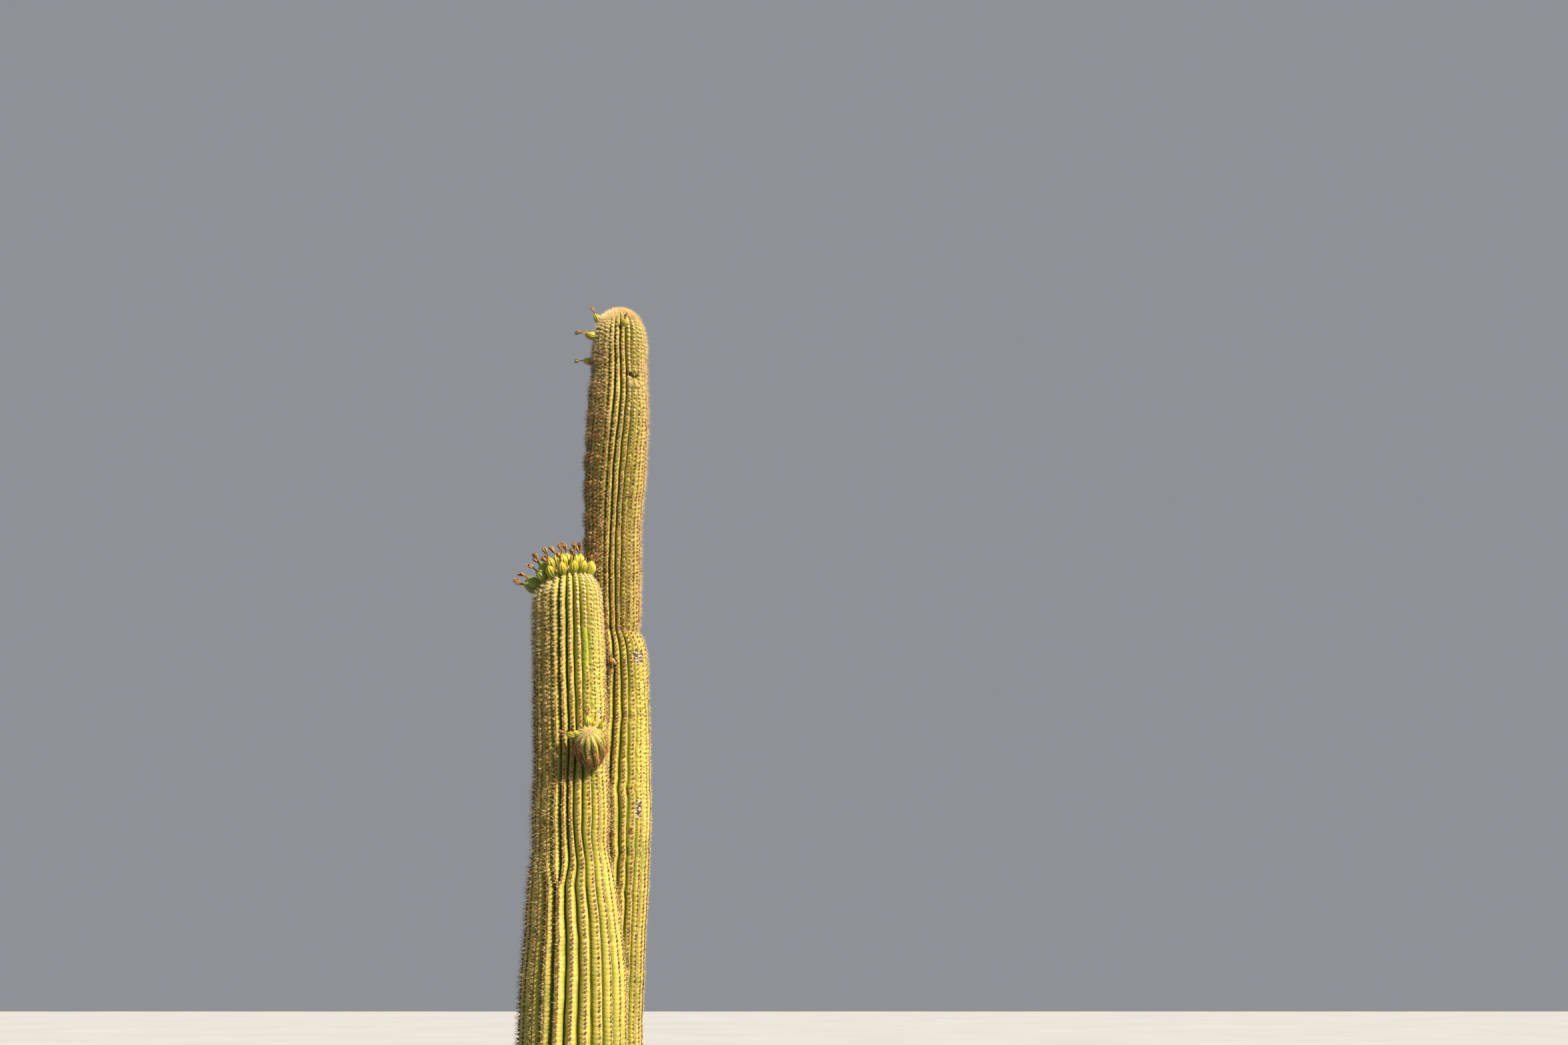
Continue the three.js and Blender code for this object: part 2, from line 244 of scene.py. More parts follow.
class Limb:
    """A ribbed limb. A station is the distance along its crests: its height up to the shoulder, then the way
    over the dome. rib and across (0 to 1, from groove to groove) say where round the limb a point is."""

    def __init__(
        self, name, shape, seed, pitch, columns, tubercle, cushion=1.0, rooted=True,
        basis=np.eye(3), origin=np.zeros(3),
    ):
        self.name = name
        self.shape = shape
        self.cushion = cushion
        self.rooted = rooted
        self.columns = columns
        self.tubercle = tubercle
        self.basis = basis
        self.origin = origin
        self.ribs = shape["ribs"]
        self.shoulder = shape["shoulder"]
        self.dome = shape["dome"]
        self.shoulder_radius = shape["radius"][-1][1]
        self.arc = math.pi / 2 * math.sqrt((self.shoulder_radius**2 + self.dome**2) / 2)
        self.length = self.shoulder + self.arc
        self.rng = np.random.default_rng(seed)
        self.stations = np.linspace(0, self.length, STATION_STEPS)
        crowding = lerp(1, TIP_CROWDING, smoothstep(self.stations, self.shoulder, self.length))
        self.counts = np.cumsum(self.stations[1] / (pitch * crowding))
        self.phases = self.rng.integers(0, ROWS_PER_CUSHION, self.ribs) / ROWS_PER_CUSHION
        for groove, _ in shape["forks"]:
            self.phases[groove] = self.phases[groove - 1]
        self.wobble_phases = self.rng.uniform(0, 2 * math.pi, (len(WOBBLES), self.ribs))
        self.spacing_phases = self.rng.uniform(0, 2 * math.pi, (len(SPACING_SWINGS), self.ribs))
        self.notches = self.notch_table()

    def notch_table(self):
        """Depth of the small pinches along each rib, in even steps."""
        steps = np.arange(0, self.length + NOTCH_STEP, NOTCH_STEP)
        table = np.zeros((self.ribs, len(steps)))
        for rib in range(self.ribs):
            place = self.rng.uniform(0, NOTCH_SPACING[1])
            while place < self.shoulder:
                depth, tall = self.rng.uniform(*NOTCH_DEPTH), self.rng.uniform(*NOTCH_HALF_HEIGHT)
                table[rib] += depth * bell(steps - place, tall)
                place += self.rng.uniform(*NOTCH_SPACING)
        return table

    def crest(self, height):
        return curve_at(self.shape["radius"], height)[:, 0]

    def centre(self, height):
        return curve_at(self.shape["axis"], height)

    def angle(self, station):
        """How far over the dome each station is, 0 to a quarter turn."""
        return np.clip((station - self.shoulder) / self.arc, 0, 1) * math.pi / 2

    def count_at(self, station, rib):
        """How many cushion spacings there are from the ground to each station."""
        swing = swings(SPACING_SWINGS, station, self.spacing_phases[:, rib])
        return np.interp(station, self.stations, self.counts) - self.phases[rib] + swing

    def station_of(self, number, rib):
        """The station of a rib's cushion, by its number."""
        station = np.interp(number + self.phases[rib], self.counts, self.stations)
        for _ in range(4):
            missing = number - self.count_at(station, rib)
            counted = np.interp(station, self.stations, self.counts)
            station = np.interp(counted + missing, self.counts, self.stations)
        return station

    def grooves(self, height):
        """For each height, each groove's azimuth and its share of the full depth."""
        widths = np.ones((len(height), self.ribs))
        shares = np.ones((len(height), self.ribs))
        for groove, fork in self.shape["forks"]:
            opened = smoothstep(height, fork, fork + FORK_RISE)
            shares[:, groove] = np.minimum(1, FORK_DEEPENING * opened)
            widths[:, groove] = lerp(FORK_WIDTH, 1, opened)
            widths[:, groove - 1] = lerp(FORK_WIDTH, 1, opened)
        widths *= 360 / widths.sum(1, keepdims=True)
        first = curve_at(self.shape["first_groove"], height)
        azimuths = first + np.concatenate([np.zeros((len(height), 1)), np.cumsum(widths, 1)[:, :-1]], 1)
        for place, middle, tall, spread, degrees in self.shape["swerves"]:
            azimuths += degrees * bell(height[:, None] - place, tall) * bell(turned(azimuths, middle), spread)
        return azimuths, shares

    def section(self, station, rib):
        """What a cut through the limb gives at each station, for the rib that is asked for there."""
        angle = self.angle(station)
        flat = np.cos(angle)
        height = np.clip(station, 0, self.shoulder)
        crest = self.crest(height)
        swell = swings(SWELLS, station, self.wobble_phases[:, 0])
        azimuths, shares = self.grooves(height)
        wobble = swings(WOBBLES, station[:, None], self.wobble_phases)
        azimuths = azimuths + np.degrees(wobble / crest[:, None]) * flat[:, None]
        for place, degrees, tall in self.shape["kinks"]:
            azimuths = azimuths + degrees * bell(station - place, tall)[:, None]
        rows = np.arange(len(station))
        after = (rib + 1) % self.ribs
        start, share, share_after = azimuths[rows, rib], shares[rows, rib], shares[rows, after]
        fade = lerp(FOOT_SHARE, 1, np.minimum(1, height / FOOT_FADE)) if self.rooted else 1
        return dict(
            height=height, angle=angle, radius=(crest + swell) * flat,
            start=start, end=azimuths[rows, after] + 360 * (after == 0),
            share=share, share_after=share_after, middle=0.5 + 0.5 * (share - share_after),
            depth=self.shape["groove_depth"] * fade * flat**DOME_GROOVE_POWER,
        )

    def tubercles(self, station, azimuth, patch, smooth):
        """Size of the bulges that carry the cushions."""
        bumpy = 1 + BUMPY_GAIN * np.clip(np.cos(np.radians(azimuth - BUMPY_SIDE)), 0, 1)
        bumpy = (bumpy + BUMPY_PATCH_GAIN * patch) * (1 - smooth)
        grown = smoothstep(station, TUBERCLE_GROWTH[0] * self.length, TUBERCLE_GROWTH[1] * self.length)
        return self.tubercle * bumpy * lerp(LOW_TUBERCLE, 1, grown)

    def skin(self, station, rib, across):
        """Points on the skin, and what the materials need there."""
        cut = self.section(station, rib)
        azimuth = lerp(cut["start"], cut["end"], across)
        reach = 1 - 0.5 * cut["share_after"]
        reach_after = 1 - 0.5 * cut["share"]
        drop = cut["share"] * flank(np.clip(1 - across / reach, 0, 1))
        drop = drop + cut["share_after"] * flank(np.clip(1 - (1 - across) / reach_after, 0, 1))
        width = np.radians(cut["end"] - cut["start"]) * cut["radius"]
        slit = cut["share"] * bell(across * width, SLIT_WIDTH)
        slit = slit + cut["share_after"] * bell((1 - across) * width, SLIT_WIDTH)
        aside = (across - cut["middle"]) * width
        count = self.count_at(station, rib)
        beat = 0.5 + 0.5 * np.cos(2 * math.pi * count)
        flat = np.cos(cut["angle"])
        patch = self.in_patch("bumpy", station, azimuth)
        smooth = self.in_patch("smooth", station, azimuth)
        step = np.clip((station / NOTCH_STEP).astype(int), 0, self.notches.shape[1] - 1)
        notch = self.notches[rib, step] * bell(aside, NOTCH_HALF_WIDTH) + self.creased(station, azimuth, rib)
        bulge = (beat - TUBERCLE_LEVEL) * (bell(aside, TUBERCLE_WIDTH) + FLANK_BULGE * (1 - drop))
        relief = self.tubercles(station, azimuth, patch, smooth) * bulge * np.sqrt(flat) - notch
        depth = cut["depth"] * drop + SLIT_SHARE * self.shape["groove_depth"] * slit * flat**2
        radius = cut["radius"] - depth * lerp(1, BUMPY_PATCH_DEPTH, patch) + relief * flat
        out, _ = ways_at(np.radians(azimuth))
        local = out * radius[:, None]
        local[:, :2] += self.centre(cut["height"])
        local[:, 2] = np.maximum(0, cut["height"] + (self.dome + relief) * np.sin(cut["angle"]))
        felt = bell(aside, FELT_WIDTH) * lerp(FELT_BETWEEN, 1, beat) * (1 - smooth) * flat
        shaggy = SHAGGY_TONE[0] + SHAGGY_TONE[1] * bands(station, azimuth)
        return self.placed(local), dict(
            # groove carries the painted shade in the grooves and the painted highlight on the crests; notch
            # the painted shade in the creases
            groove=np.clip(drop + 0.5 * slit, 0, 1) * flat * (1 - GROOVE_SHADE_LOST * patch),
            cushion=bell(aside, STAIN_WIDTH) * beat**2 * (1 - smooth),
            felt=felt * (1 - FELT_LOST * patch),
            notch=notch,
            count=count - CREASE_SAG * drop,
            bumpy=patch,
            smooth=smooth,
            shaggy=self.in_patch("shaggy", station, azimuth) * shaggy,
            pale=self.scarred(station, azimuth, cut["radius"], "pale"),
            brown=self.scarred(station, azimuth, cut["radius"], "brown"),
        )

    def in_patch(self, kind, station, azimuth):
        """How far into the limb's patch of one kind each point is, 0 to 1."""
        if kind not in self.shape["patches"]:
            return np.zeros(len(station))
        place, middle, tall, spread = self.shape["patches"][kind]
        return np.exp(-(((station - place) / tall) ** 4)) * bell(turned(azimuth, middle), spread)

    def creased(self, station, azimuth, rib):
        """Depth of the limb's own creases."""
        depth = np.zeros(len(station))
        for place, middle, spread, deep, tall in self.shape["creases"]:
            jag = JAG * np.sin(JAG_TURN * rib) if spread > STRAIGHT_SPREAD else 0
            depth += deep * bell(station - place - jag, tall) * bell(turned(azimuth, middle), spread)
        return depth

    def scarred(self, station, azimuth, radius, kind):
        """How far into a scar of one kind each point is, 0 to 1."""
        share = np.zeros(len(station))
        for this_kind, place, middle, tall, wide in self.shape["scars"]:
            if this_kind == kind:
                aside = np.radians(turned(azimuth, middle)) * radius
                share = np.maximum(share, bell(station - place, tall) * bell(aside, wide))
        return share

    def placed(self, local):
        return local @ self.basis.T + self.origin

    def directions(self, station, azimuth):
        """The way out of the limb, the way up along it and the way round it, as unit vectors."""
        angle = self.angle(station)
        height = np.clip(station, 0, self.shoulder)
        above = self.crest(np.minimum(height + SLOPE_STEP, self.shoulder))
        below = self.crest(np.maximum(height - SLOPE_STEP, 0))
        on_dome = station > self.shoulder
        flat = np.where(on_dome, np.cos(angle) / self.shoulder_radius, 1.0)
        rise = np.where(on_dome, np.sin(angle) / self.dome, (below - above) / (2 * SLOPE_STEP))
        level, side = ways_at(np.radians(azimuth))
        out = unit(level * flat[:, None] + rise[:, None] * UP)
        return [way @ self.basis.T for way in (out, np.cross(out, side), side)]

    def holds(self, points, margin):
        """Which points are inside the limb's crests by more than the margin."""
        local = (points - self.origin) @ self.basis
        z = local[:, 2]
        height = np.clip(z, 0, self.shoulder)
        rise = np.clip((z - self.shoulder) / self.dome, 0, 1)
        crest = self.crest(height) * np.sqrt(1 - rise**2) - margin
        away = np.hypot(*(local[:, :2] - self.centre(height)).T)
        return (z > 0) & (z < self.shoulder + self.dome) & (away < crest)


def mesh_piece(name, points, faces, materials, smooth=True, attributes=None):
    """A mesh object from points in mm, riding on the plant's body."""
    mesh = bpy.data.meshes.new(name)
    mesh.from_pydata((np.asarray(points) * METRE).tolist(), [], faces)
    mesh.polygons.foreach_set("use_smooth", np.full(len(mesh.polygons), smooth))
    for key, values in (attributes or {}).items():
        mesh.attributes.new(key, "FLOAT", "POINT").data.foreach_set("value", values.astype(np.float32))
    mesh.validate()
    mesh.update()
    piece = bpy.data.objects.new(name, mesh)
    bpy.context.scene.collection.objects.link(piece)
    for material in materials:
        mesh.materials.append(material)
    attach(piece, BODY)
    return piece


class Shade:
    """A material that is put together from noise and the mesh's own attributes."""

    def __init__(self, name, roughness=0.6, specular=0.35):
        self.material = bpy.data.materials.new(name)
        self.material.use_nodes = True
        self.tree = self.material.node_tree
        self.shader = self.tree.nodes["Principled BSDF"]
        self.feed(self.shader, {"Roughness": roughness, "Specular IOR Level": specular})

    def feed(self, node, inputs):
        """Gives each of a node's inputs a source, an sRGB colour or a plain value."""
        for key, value in inputs.items():
            socket = node.inputs[key]
            if isinstance(value, bpy.types.NodeSocket):
                self.tree.links.new(value, socket)
            else:
                socket.default_value = linear(value) if socket.type == "RGBA" else value

    def node(self, kind, inputs, **settings):
        made = self.tree.nodes.new(kind)
        for key, value in settings.items():
            setattr(made, key, value)
        self.feed(made, inputs)
        return made

    def attribute(self, name):
        return self.node("ShaderNodeAttribute", {}, attribute_name=name).outputs["Fac"]

    def place(self):
        return self.node("ShaderNodeTexCoord", {}).outputs["Object"]

    def noise(self, scale, detail=3.0, stretch=None):
        place = self.place()
        if stretch:
            place = self.node("ShaderNodeMapping", {"Scale": stretch, "Vector": place}).outputs["Vector"]
        inputs = {"Scale": scale, "Detail": detail, "Vector": place}
        return self.node("ShaderNodeTexNoise", inputs).outputs["Fac"]

    def cells(self, scale):
        """Distance from the middle of the nearest of many uneven cells."""
        inputs = {"Scale": scale, "Vector": self.place()}
        return self.node("ShaderNodeTexVoronoi", inputs).outputs["Distance"]

    def range(self, source, low, high, to_low=0.0, to_high=1.0):
        inputs = {"Value": source, "From Min": low, "From Max": high, "To Min": to_low, "To Max": to_high}
        return self.node("ShaderNodeMapRange", inputs, interpolation_type="SMOOTHSTEP").outputs["Result"]

    def maths(self, operation, first, second=0.0):
        return self.node("ShaderNodeMath", {0: first, 1: second}, operation=operation).outputs[0]

    def mix(self, share, first, second):
        """A colour between two, which are sRGB triples or sources."""
        inputs = {0: share, 6: first, 7: second}
        return self.node("ShaderNodeMix", inputs, data_type="RGBA").outputs[2]

    def grained(self, source, scale, detail, share):
        """A source with noise laid over it."""
        return self.maths("ADD", source, self.maths("MULTIPLY", self.noise(scale, detail), share))

    def lay(self, colour, mark, grain, low, high, at_low, at_high, layer):
        """A colour with a layer over it. The layer's share goes from at_low to at_high while a mark on the
        mesh, noise, or a mark with noise on it goes from low to high."""
        if mark is None:
            source = self.noise(*grain)
        elif grain is None:
            source = self.attribute(mark)
        else:
            source = self.grained(self.attribute(mark), *grain)
        return self.mix(self.range(source, low, high, at_low, at_high), colour, layer)

    def colour(self, source):
        self.feed(self.shader, {"Base Color": source})

    def bump(self, height, strength, distance):
        inputs = {"Strength": strength, "Distance": distance, "Height": height}
        self.feed(self.shader, {"Normal": self.node("ShaderNodeBump", inputs).outputs["Normal"]})


def linear(colour):
    """An sRGB colour of 0 to 255 as Blender's linear RGBA."""
    values = [c / 255 for c in colour]
    values = [c / 12.92 if c <= 0.04045 else ((c + 0.055) / 1.055) ** 2.4 for c in values]
    return (*values, 1.0)


# Colours of the plant, as sRGB. Small things have two, which their grain mixes.
SKIN_YOUNG = (187, 178, 72)
SKIN_OLD = (199, 182, 88)
# painted highlight: the rib crests are lighter, as light would leave them
CREST_HIGHLIGHT = (225, 205, 108)
# a deeper green, in random blotches and as painted shade down the grooves' flanks
DEEP_GREEN_AND_GROOVE_SHADE = (132, 142, 54)
SKIN_PALE = (218, 197, 120)
SKIN_FRESH = (154, 163, 60)
# painted shade at the bottom of the grooves
GROOVE_SHADE = (98, 92, 40)
CUSHION_STAIN = (104, 74, 44)
FELT = (172, 138, 80)
BARK = (112, 92, 68)
BARK_DARK = (66, 54, 42)
# brown of dense spines on shaggy skin, with the shade they throw painted in
SHAGGY_BROWN_AND_SHADE = (88, 72, 38)
FRUIT_FOOT = (112, 128, 40)
# painted shade in the fruit's furrows
FRUIT_FURROW_SHADE = (104, 114, 34)
# painted shade in the creases: brownish in shallow ones, near black in deep ones
CREASE_SHADE = (98, 78, 40)
DEEP_CREASE_SHADE = (26, 20, 14)
SCAR_PALE = (204, 192, 164)
SCAR_PALE_DARK = (64, 56, 42)
SCAR_BROWN = (124, 80, 52)
SPINE_COLOURS = dict(
    cream=((250, 232, 186), (238, 212, 158)),
    tan=((208, 170, 112), (178, 140, 88)),
    rust=((204, 138, 84), (176, 112, 66)),
    dark=((118, 78, 50), (90, 58, 38)),
)
CUSHION_COLOURS = dict(
    pale=((226, 212, 172), (206, 186, 142)),
    brown=((122, 88, 58), (86, 60, 40)),
    old=((104, 76, 58), (70, 50, 38)),
)
FRUIT_COLOURS = dict(
    fruit_yellow=((176, 170, 46), (214, 196, 70)),
    # painted shade: a darker green copy of the fruit, for fruit on the side away from the light
    fruit_shaded=((128, 148, 44), (160, 168, 60)),
)
DRY_FLOWER = ((146, 106, 62), (92, 66, 42))
DRY_PETAL = ((222, 184, 124), (178, 134, 82))
BRACT = ((110, 96, 44), (150, 90, 60))

# Layers of colour, the lowest first, as Shade.lay() takes them: a mark, noise of (scale, detail) or, on a
# mark, (scale, detail, share), the range, the layer's share at its two ends, and its colour.
SKIN_LAYERS = [
    # painted highlight on the crests, then painted shade down the grooves' flanks
    ("groove", None, 0.0, 0.28, 0.75, 0.0, CREST_HIGHLIGHT),
    ("groove", None, 0.25, 0.75, 0.0, 0.8, DEEP_GREEN_AND_GROOVE_SHADE),
    (None, (5.0, 4), 0.42, 0.68, 0.0, 0.6, DEEP_GREEN_AND_GROOVE_SHADE),
    (None, (1.7, 3), 0.45, 0.7, 0.0, 0.5, SKIN_FRESH),
    (None, (38.0, 5), 0.5, 0.75, 0.0, 0.6, SKIN_PALE),
    (None, (260.0, 4), 0.55, 0.8, 0.0, 0.35, CUSHION_STAIN),
    ("smooth", None, 0.1, 0.9, 0.0, 0.6, SKIN_FRESH),
    # brown of dense spines and their painted shade on shaggy skin
    ("shaggy", None, 0.1, 0.9, 0.0, 0.7, SHAGGY_BROWN_AND_SHADE),
    # painted shade in the creases, deepening with their depth
    ("notch", None, 1.5, 5.0, 0.0, 0.6, CREASE_SHADE),
    ("notch", None, 6.0, 10.0, 0.0, 1.0, DEEP_CREASE_SHADE),
    ("felt", (140.0, 4, 0.6), 0.55, 1.1, 0.0, 0.8, FELT),
    ("cushion", None, 0.1, 0.8, 0.0, 0.75, CUSHION_STAIN),
]
FRUIT_LAYERS = [
    ("along", None, 0.1, 0.75, 0.6, 0.0, FRUIT_FOOT),
    # painted shade in the furrows between the ridges
    ("ridge", None, 0.05, 0.6, 0.75, 0.0, FRUIT_FURROW_SHADE),
    (None, (190.0, 4), 0.62, 0.8, 0.0, 0.6, CUSHION_STAIN),
]
YOUNG_SKIN = (1.4, 3.2)  # metres above the ground between which the skin goes from old to young
BARK_FADE = (0.42, 0.72)  # and from bark to green skin, with the bark's noise
STEM_GROOVE_SHADE, ARM_GROOVE_SHADE = 0.85, 0.6  # how dark the painted shade in the grooves is
CREASE_BUMP, WRINKLE_BUMP, LUMP_BUMP = 0.4, 0.8, 2.6
BUMP_STRENGTH = 0.7
BUMP_DISTANCE = 0.004


def skin_material(name, groove):
    """Waxy green skin, with a painted highlight on the crests, painted shade in the grooves as dark as asked
    and in the creases, scars, and bark at the foot.
    """
    shade = Shade(name, roughness=0.55, specular=0.4)
    height = shade.node("ShaderNodeSeparateXYZ", {"Vector": shade.place()}).outputs["Z"]
    colour = shade.mix(shade.range(height, *YOUNG_SKIN), SKIN_OLD, SKIN_YOUNG)
    for layer in SKIN_LAYERS:
        colour = shade.lay(colour, *layer)
    # painted shade at the bottom of the grooves, as dark as asked
    colour = shade.lay(colour, "groove", None, 0.7, 1.0, 0.0, groove, GROOVE_SHADE)
    cork = shade.mix(shade.range(shade.noise(90.0, 5), 0.44, 0.56), SCAR_PALE_DARK, SCAR_PALE)
    colour = shade.lay(colour, "pale", (55.0, 4, 0.8), 0.7, 0.84, 0.0, 1.0, cork)
    colour = shade.lay(colour, "brown", (60.0, 4, 0.8), 0.7, 0.84, 0.0, 0.9, SCAR_BROWN)
    bark = shade.mix(shade.range(shade.noise(24.0, 6, (1, 1, 0.35)), 0.35, 0.65), BARK, BARK_DARK)
    bark_share = shade.range(shade.grained(height, 7.0, 5, 0.5), *BARK_FADE, 1.0, 0.0)
    shade.colour(shade.mix(bark_share, colour, bark))
    gloss = shade.range(shade.attribute("groove"), 0.3, 0.8, 0.4, 0.02)
    shade.feed(shade.shader, {"Specular IOR Level": gloss})
    skin_bump(shade)
    return shade.material


def skin_bump(shade):
    """Uneven creases midway between two cushions, wrinkles, and lumps in the bumpy patches."""
    beat = shade.maths("FRACT", shade.attribute("count"))
    midway = shade.maths("ABSOLUTE", shade.maths("SUBTRACT", beat, 0.5))
    crease = shade.range(shade.grained(midway, 60.0, 2, 0.22), 0.0, 0.42)
    crease = shade.maths("MULTIPLY", crease, shade.range(shade.noise(3.0, 2), 0.35, 0.65, 0.3, 1.0))
    creased = shade.range(shade.attribute("smooth"), 0.1, 0.6, 1.0, 0.0)
    crease = shade.maths("MULTIPLY", crease, creased)
    wrinkle = shade.noise(36.0, 5, (1, 1, 4))
    lumps = shade.range(shade.cells(58.0), 0.1, 0.6, 1.0, 0.0)
    lumps = shade.maths("MULTIPLY", lumps, shade.attribute("bumpy"))
    height = 0.0
    for source, share in ((crease, CREASE_BUMP), (wrinkle, WRINKLE_BUMP), (lumps, LUMP_BUMP)):
        height = shade.maths("ADD", height, shade.maths("MULTIPLY", source, share))
    shade.bump(height, BUMP_STRENGTH, BUMP_DISTANCE)


def plain_material(name, colour, other, roughness=0.6, scale=300.0, specular=0.25):
    """Many small things: one base colour with a slight grain."""
    shade = Shade(name, roughness=roughness, specular=specular)
    shade.colour(shade.mix(shade.range(shade.noise(scale, 3), 0.4, 0.7), colour, other))
    return shade.material


def limb_rows(limb):
    """Stations of a limb's rows of points: the same number for each cushion, so that each one is met."""
    last = math.floor(limb.counts[-1] * ROWS_PER_CUSHION - 0.5)
    counts = np.arange(1, last + 1) / ROWS_PER_CUSHION
    return np.concatenate([[0.0], np.interp(counts, limb.counts, limb.stations)])


def tube_faces(rows, sides):
    """Faces between rows of points that run round a body."""
    row = np.arange(rows - 1)[:, None] * sides
    base = (row + np.arange(sides)).ravel()
    following = (row + (np.arange(sides) + 1) % sides).ravel()
    return np.stack([base, following, following + sides, base + sides], 1).tolist()


def build_skin(limb, name, material, node):
    rows = limb_rows(limb)
    ribs = np.repeat(np.arange(limb.ribs), len(limb.columns))
    across = np.tile(limb.columns, limb.ribs)
    sides = len(ribs)
    station = np.repeat(rows, sides)
    points, attributes = limb.skin(station, np.tile(ribs, len(rows)), np.tile(across, len(rows)))
    foot, tip = limb.centre(np.array([0.0, limb.shoulder]))
    ends = np.array([[*foot, 0.0], [*tip, limb.shoulder + limb.dome]])
    points = np.concatenate([points, limb.placed(ends)])
    attributes = {key: np.concatenate([values, [0, 0]]) for key, values in attributes.items()}
    faces = tube_faces(len(rows), sides)
    low_end, top_end = len(points) - 2, len(points) - 1
    top = (len(rows) - 1) * sides
    for k in range(sides):
        after = (k + 1) % sides
        faces.append([low_end, after, k])
        faces.append([top_end, top + k, top + after])
    piece = mesh_piece(name, points, faces, [material], attributes=attributes)
    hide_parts(node)


FIRST_CUSHION, FIRST_ARM_CUSHION = 70, 30  # no cushion stands lower
PIT = 10  # no cushion stands in a crease deeper than this
TIP_CLEAR, ARM_TIP_CLEAR = 22, 7  # radius round the tip with no cushions of its own
MERGED = 0.2  # share of a groove's depth below which two ribs count as one
HIDING_DEPTH = 4  # a cushion this far inside another limb is left out
FULL_SIZE_RADIUS, LEAST_SIZE = 60, 0.45  # cushions are smaller where the limb is thinner, towards its tip


def chosen(sites, mask):
    return {key: values[mask] for key, values in sites.items()}


def cushion_sites(limb, others, first=FIRST_CUSHION, clear=TIP_CLEAR):
    """Where a limb's spine cushions are, leaving out what another limb hides."""
    number = np.arange(int(limb.counts[-1]))
    rib, number = (grid.ravel() for grid in np.meshgrid(np.arange(limb.ribs), number, indexing="ij"))
    station = limb.station_of(number, rib)
    cut = limb.section(station, rib)
    merged = (cut["share"] < MERGED) & (cut["share_after"] > MERGED)
    azimuth = lerp(cut["start"], cut["end"], cut["middle"])
    bare = (limb.in_patch("smooth", station, azimuth) > 0.5) | (limb.creased(station, azimuth, rib) > PIT)
    keep = (station > first) & ~merged & ~bare & (cut["radius"] > clear)
    station, rib, azimuth = station[keep], rib[keep], azimuth[keep]
    points, _ = limb.skin(station, rib, cut["middle"][keep])
    out, up, side = limb.directions(station, azimuth)
    sites = dict(
        point=points, out=out, up=up, side=side, station=station, azimuth=azimuth % 360,
        below_tip=limb.length - station, band=bands(station, azimuth),
        size=limb.cushion * np.clip(cut["radius"][keep] / FULL_SIZE_RADIUS, LEAST_SIZE, 1),
    )
    for kind in ("bumpy", "shaggy", "dry"):
        sites[kind] = limb.in_patch(kind, station, azimuth)
    hidden = np.zeros(len(points), bool)
    for other in others:
        hidden |= other.holds(points, HIDING_DEPTH)
    return chosen(sites, ~hidden)


CUSHION_SIDES = 7
CUSHION_LENGTH, CUSHION_WIDTH, CUSHION_HEIGHT = 7.6, 6.2, 3.6
CUSHION_SIZES = (0.65, 1.25)
BUMPY_SHRINKING = 0.35  # cushions are this much smaller in a bumpy patch


def build_cushions(name, sites, material, rng):
    """Felted cushions on the ribs, each a small seven-sided dome."""
    count = len(sites["point"])
    turn = even_turns(CUSHION_SIDES)
    size = sites["size"] * (1 - BUMPY_SHRINKING * sites["bumpy"])
    size = rng.uniform(*CUSHION_SIZES, (count, 1, 1)) * size[:, None, None]
    ring = (
        sites["point"][:, None] - sites["out"][:, None]
        + size * CUSHION_LENGTH * np.cos(turn)[None, :, None] * sites["up"][:, None]
        + size * CUSHION_WIDTH * np.sin(turn)[None, :, None] * sites["side"][:, None]
    )
    top = sites["point"][:, None] + size * CUSHION_HEIGHT * sites["out"][:, None]
    points = np.concatenate([ring, top], 1).reshape(-1, 3)
    base = np.arange(count)[:, None] * (CUSHION_SIDES + 1)
    k = np.arange(CUSHION_SIDES)
    apex = np.broadcast_to(base + CUSHION_SIDES, (count, CUSHION_SIDES))
    # Seen along the way out, the ring runs clockwise, so each face takes it backwards.
    faces = np.stack([base + (k + 1) % CUSHION_SIDES, base + k, apex], 2).reshape(-1, 3)
    return mesh_piece(name, points, faces.tolist(), [material])


def spine_pyramids(foot, tip, width):
    """Thin three-sided spines from foot to tip: their points and faces."""
    along = unit(tip - foot)
    helper = np.where(np.abs(along[:, 2:]) < 0.8, [[0.0, 0.0, 1.0]], [[1.0, 0.0, 0.0]])
    first = unit(np.cross(along, helper))
    second = np.cross(along, first)
    corners = [
        foot + width[:, None] * 0.5 * (math.cos(turn) * first + math.sin(turn) * second)
        for turn in even_turns(3)
    ]
    points = np.stack([*corners, tip], 1).reshape(-1, 3)
    base = np.arange(len(foot))[:, None] * 4
    faces = np.concatenate([base + [0, 1, 3], base + [1, 2, 3], base + [2, 0, 3]])
    return points, faces


TURN_JITTER = 0.35  # of the spines' even turns round their cushion
FOOT_ASIDE, FOOT_OUT = 1.5, 0.5  # where a spine stands on its cushion


def spines_of(sites, rng, count, least_tilt, most_tilt, shortest, longest, width, droop):
    """count spines on each site, from foot to tip, with their width and site."""
    total = len(sites["point"])
    tilts = np.radians(rng.uniform(least_tilt, most_tilt, (total, count)))
    slots = (np.arange(count) + rng.uniform(0, 1, (total, 1))) / count
    turns = 2 * math.pi * (slots + rng.uniform(-TURN_JITTER, TURN_JITTER, (total, count)) / count)
    lengths = rng.uniform(shortest, longest, (total, count)) * sites["reach"][:, None]
    sideways = np.cos(turns)[..., None] * sites["up"][:, None]
    sideways = sideways + np.sin(turns)[..., None] * sites["side"][:, None]
    way = np.cos(tilts)[..., None] * sites["out"][:, None] + np.sin(tilts)[..., None] * sideways
    way = unit(way - droop * UP)
    foot = sites["point"][:, None] + FOOT_ASIDE * sideways + FOOT_OUT * sites["out"][:, None]
    tip = foot + lengths[..., None] * way
    owner = np.repeat(np.arange(total), count)
    return foot.reshape(-1, 3), tip.reshape(-1, 3), np.full(total * count, float(width)), owner


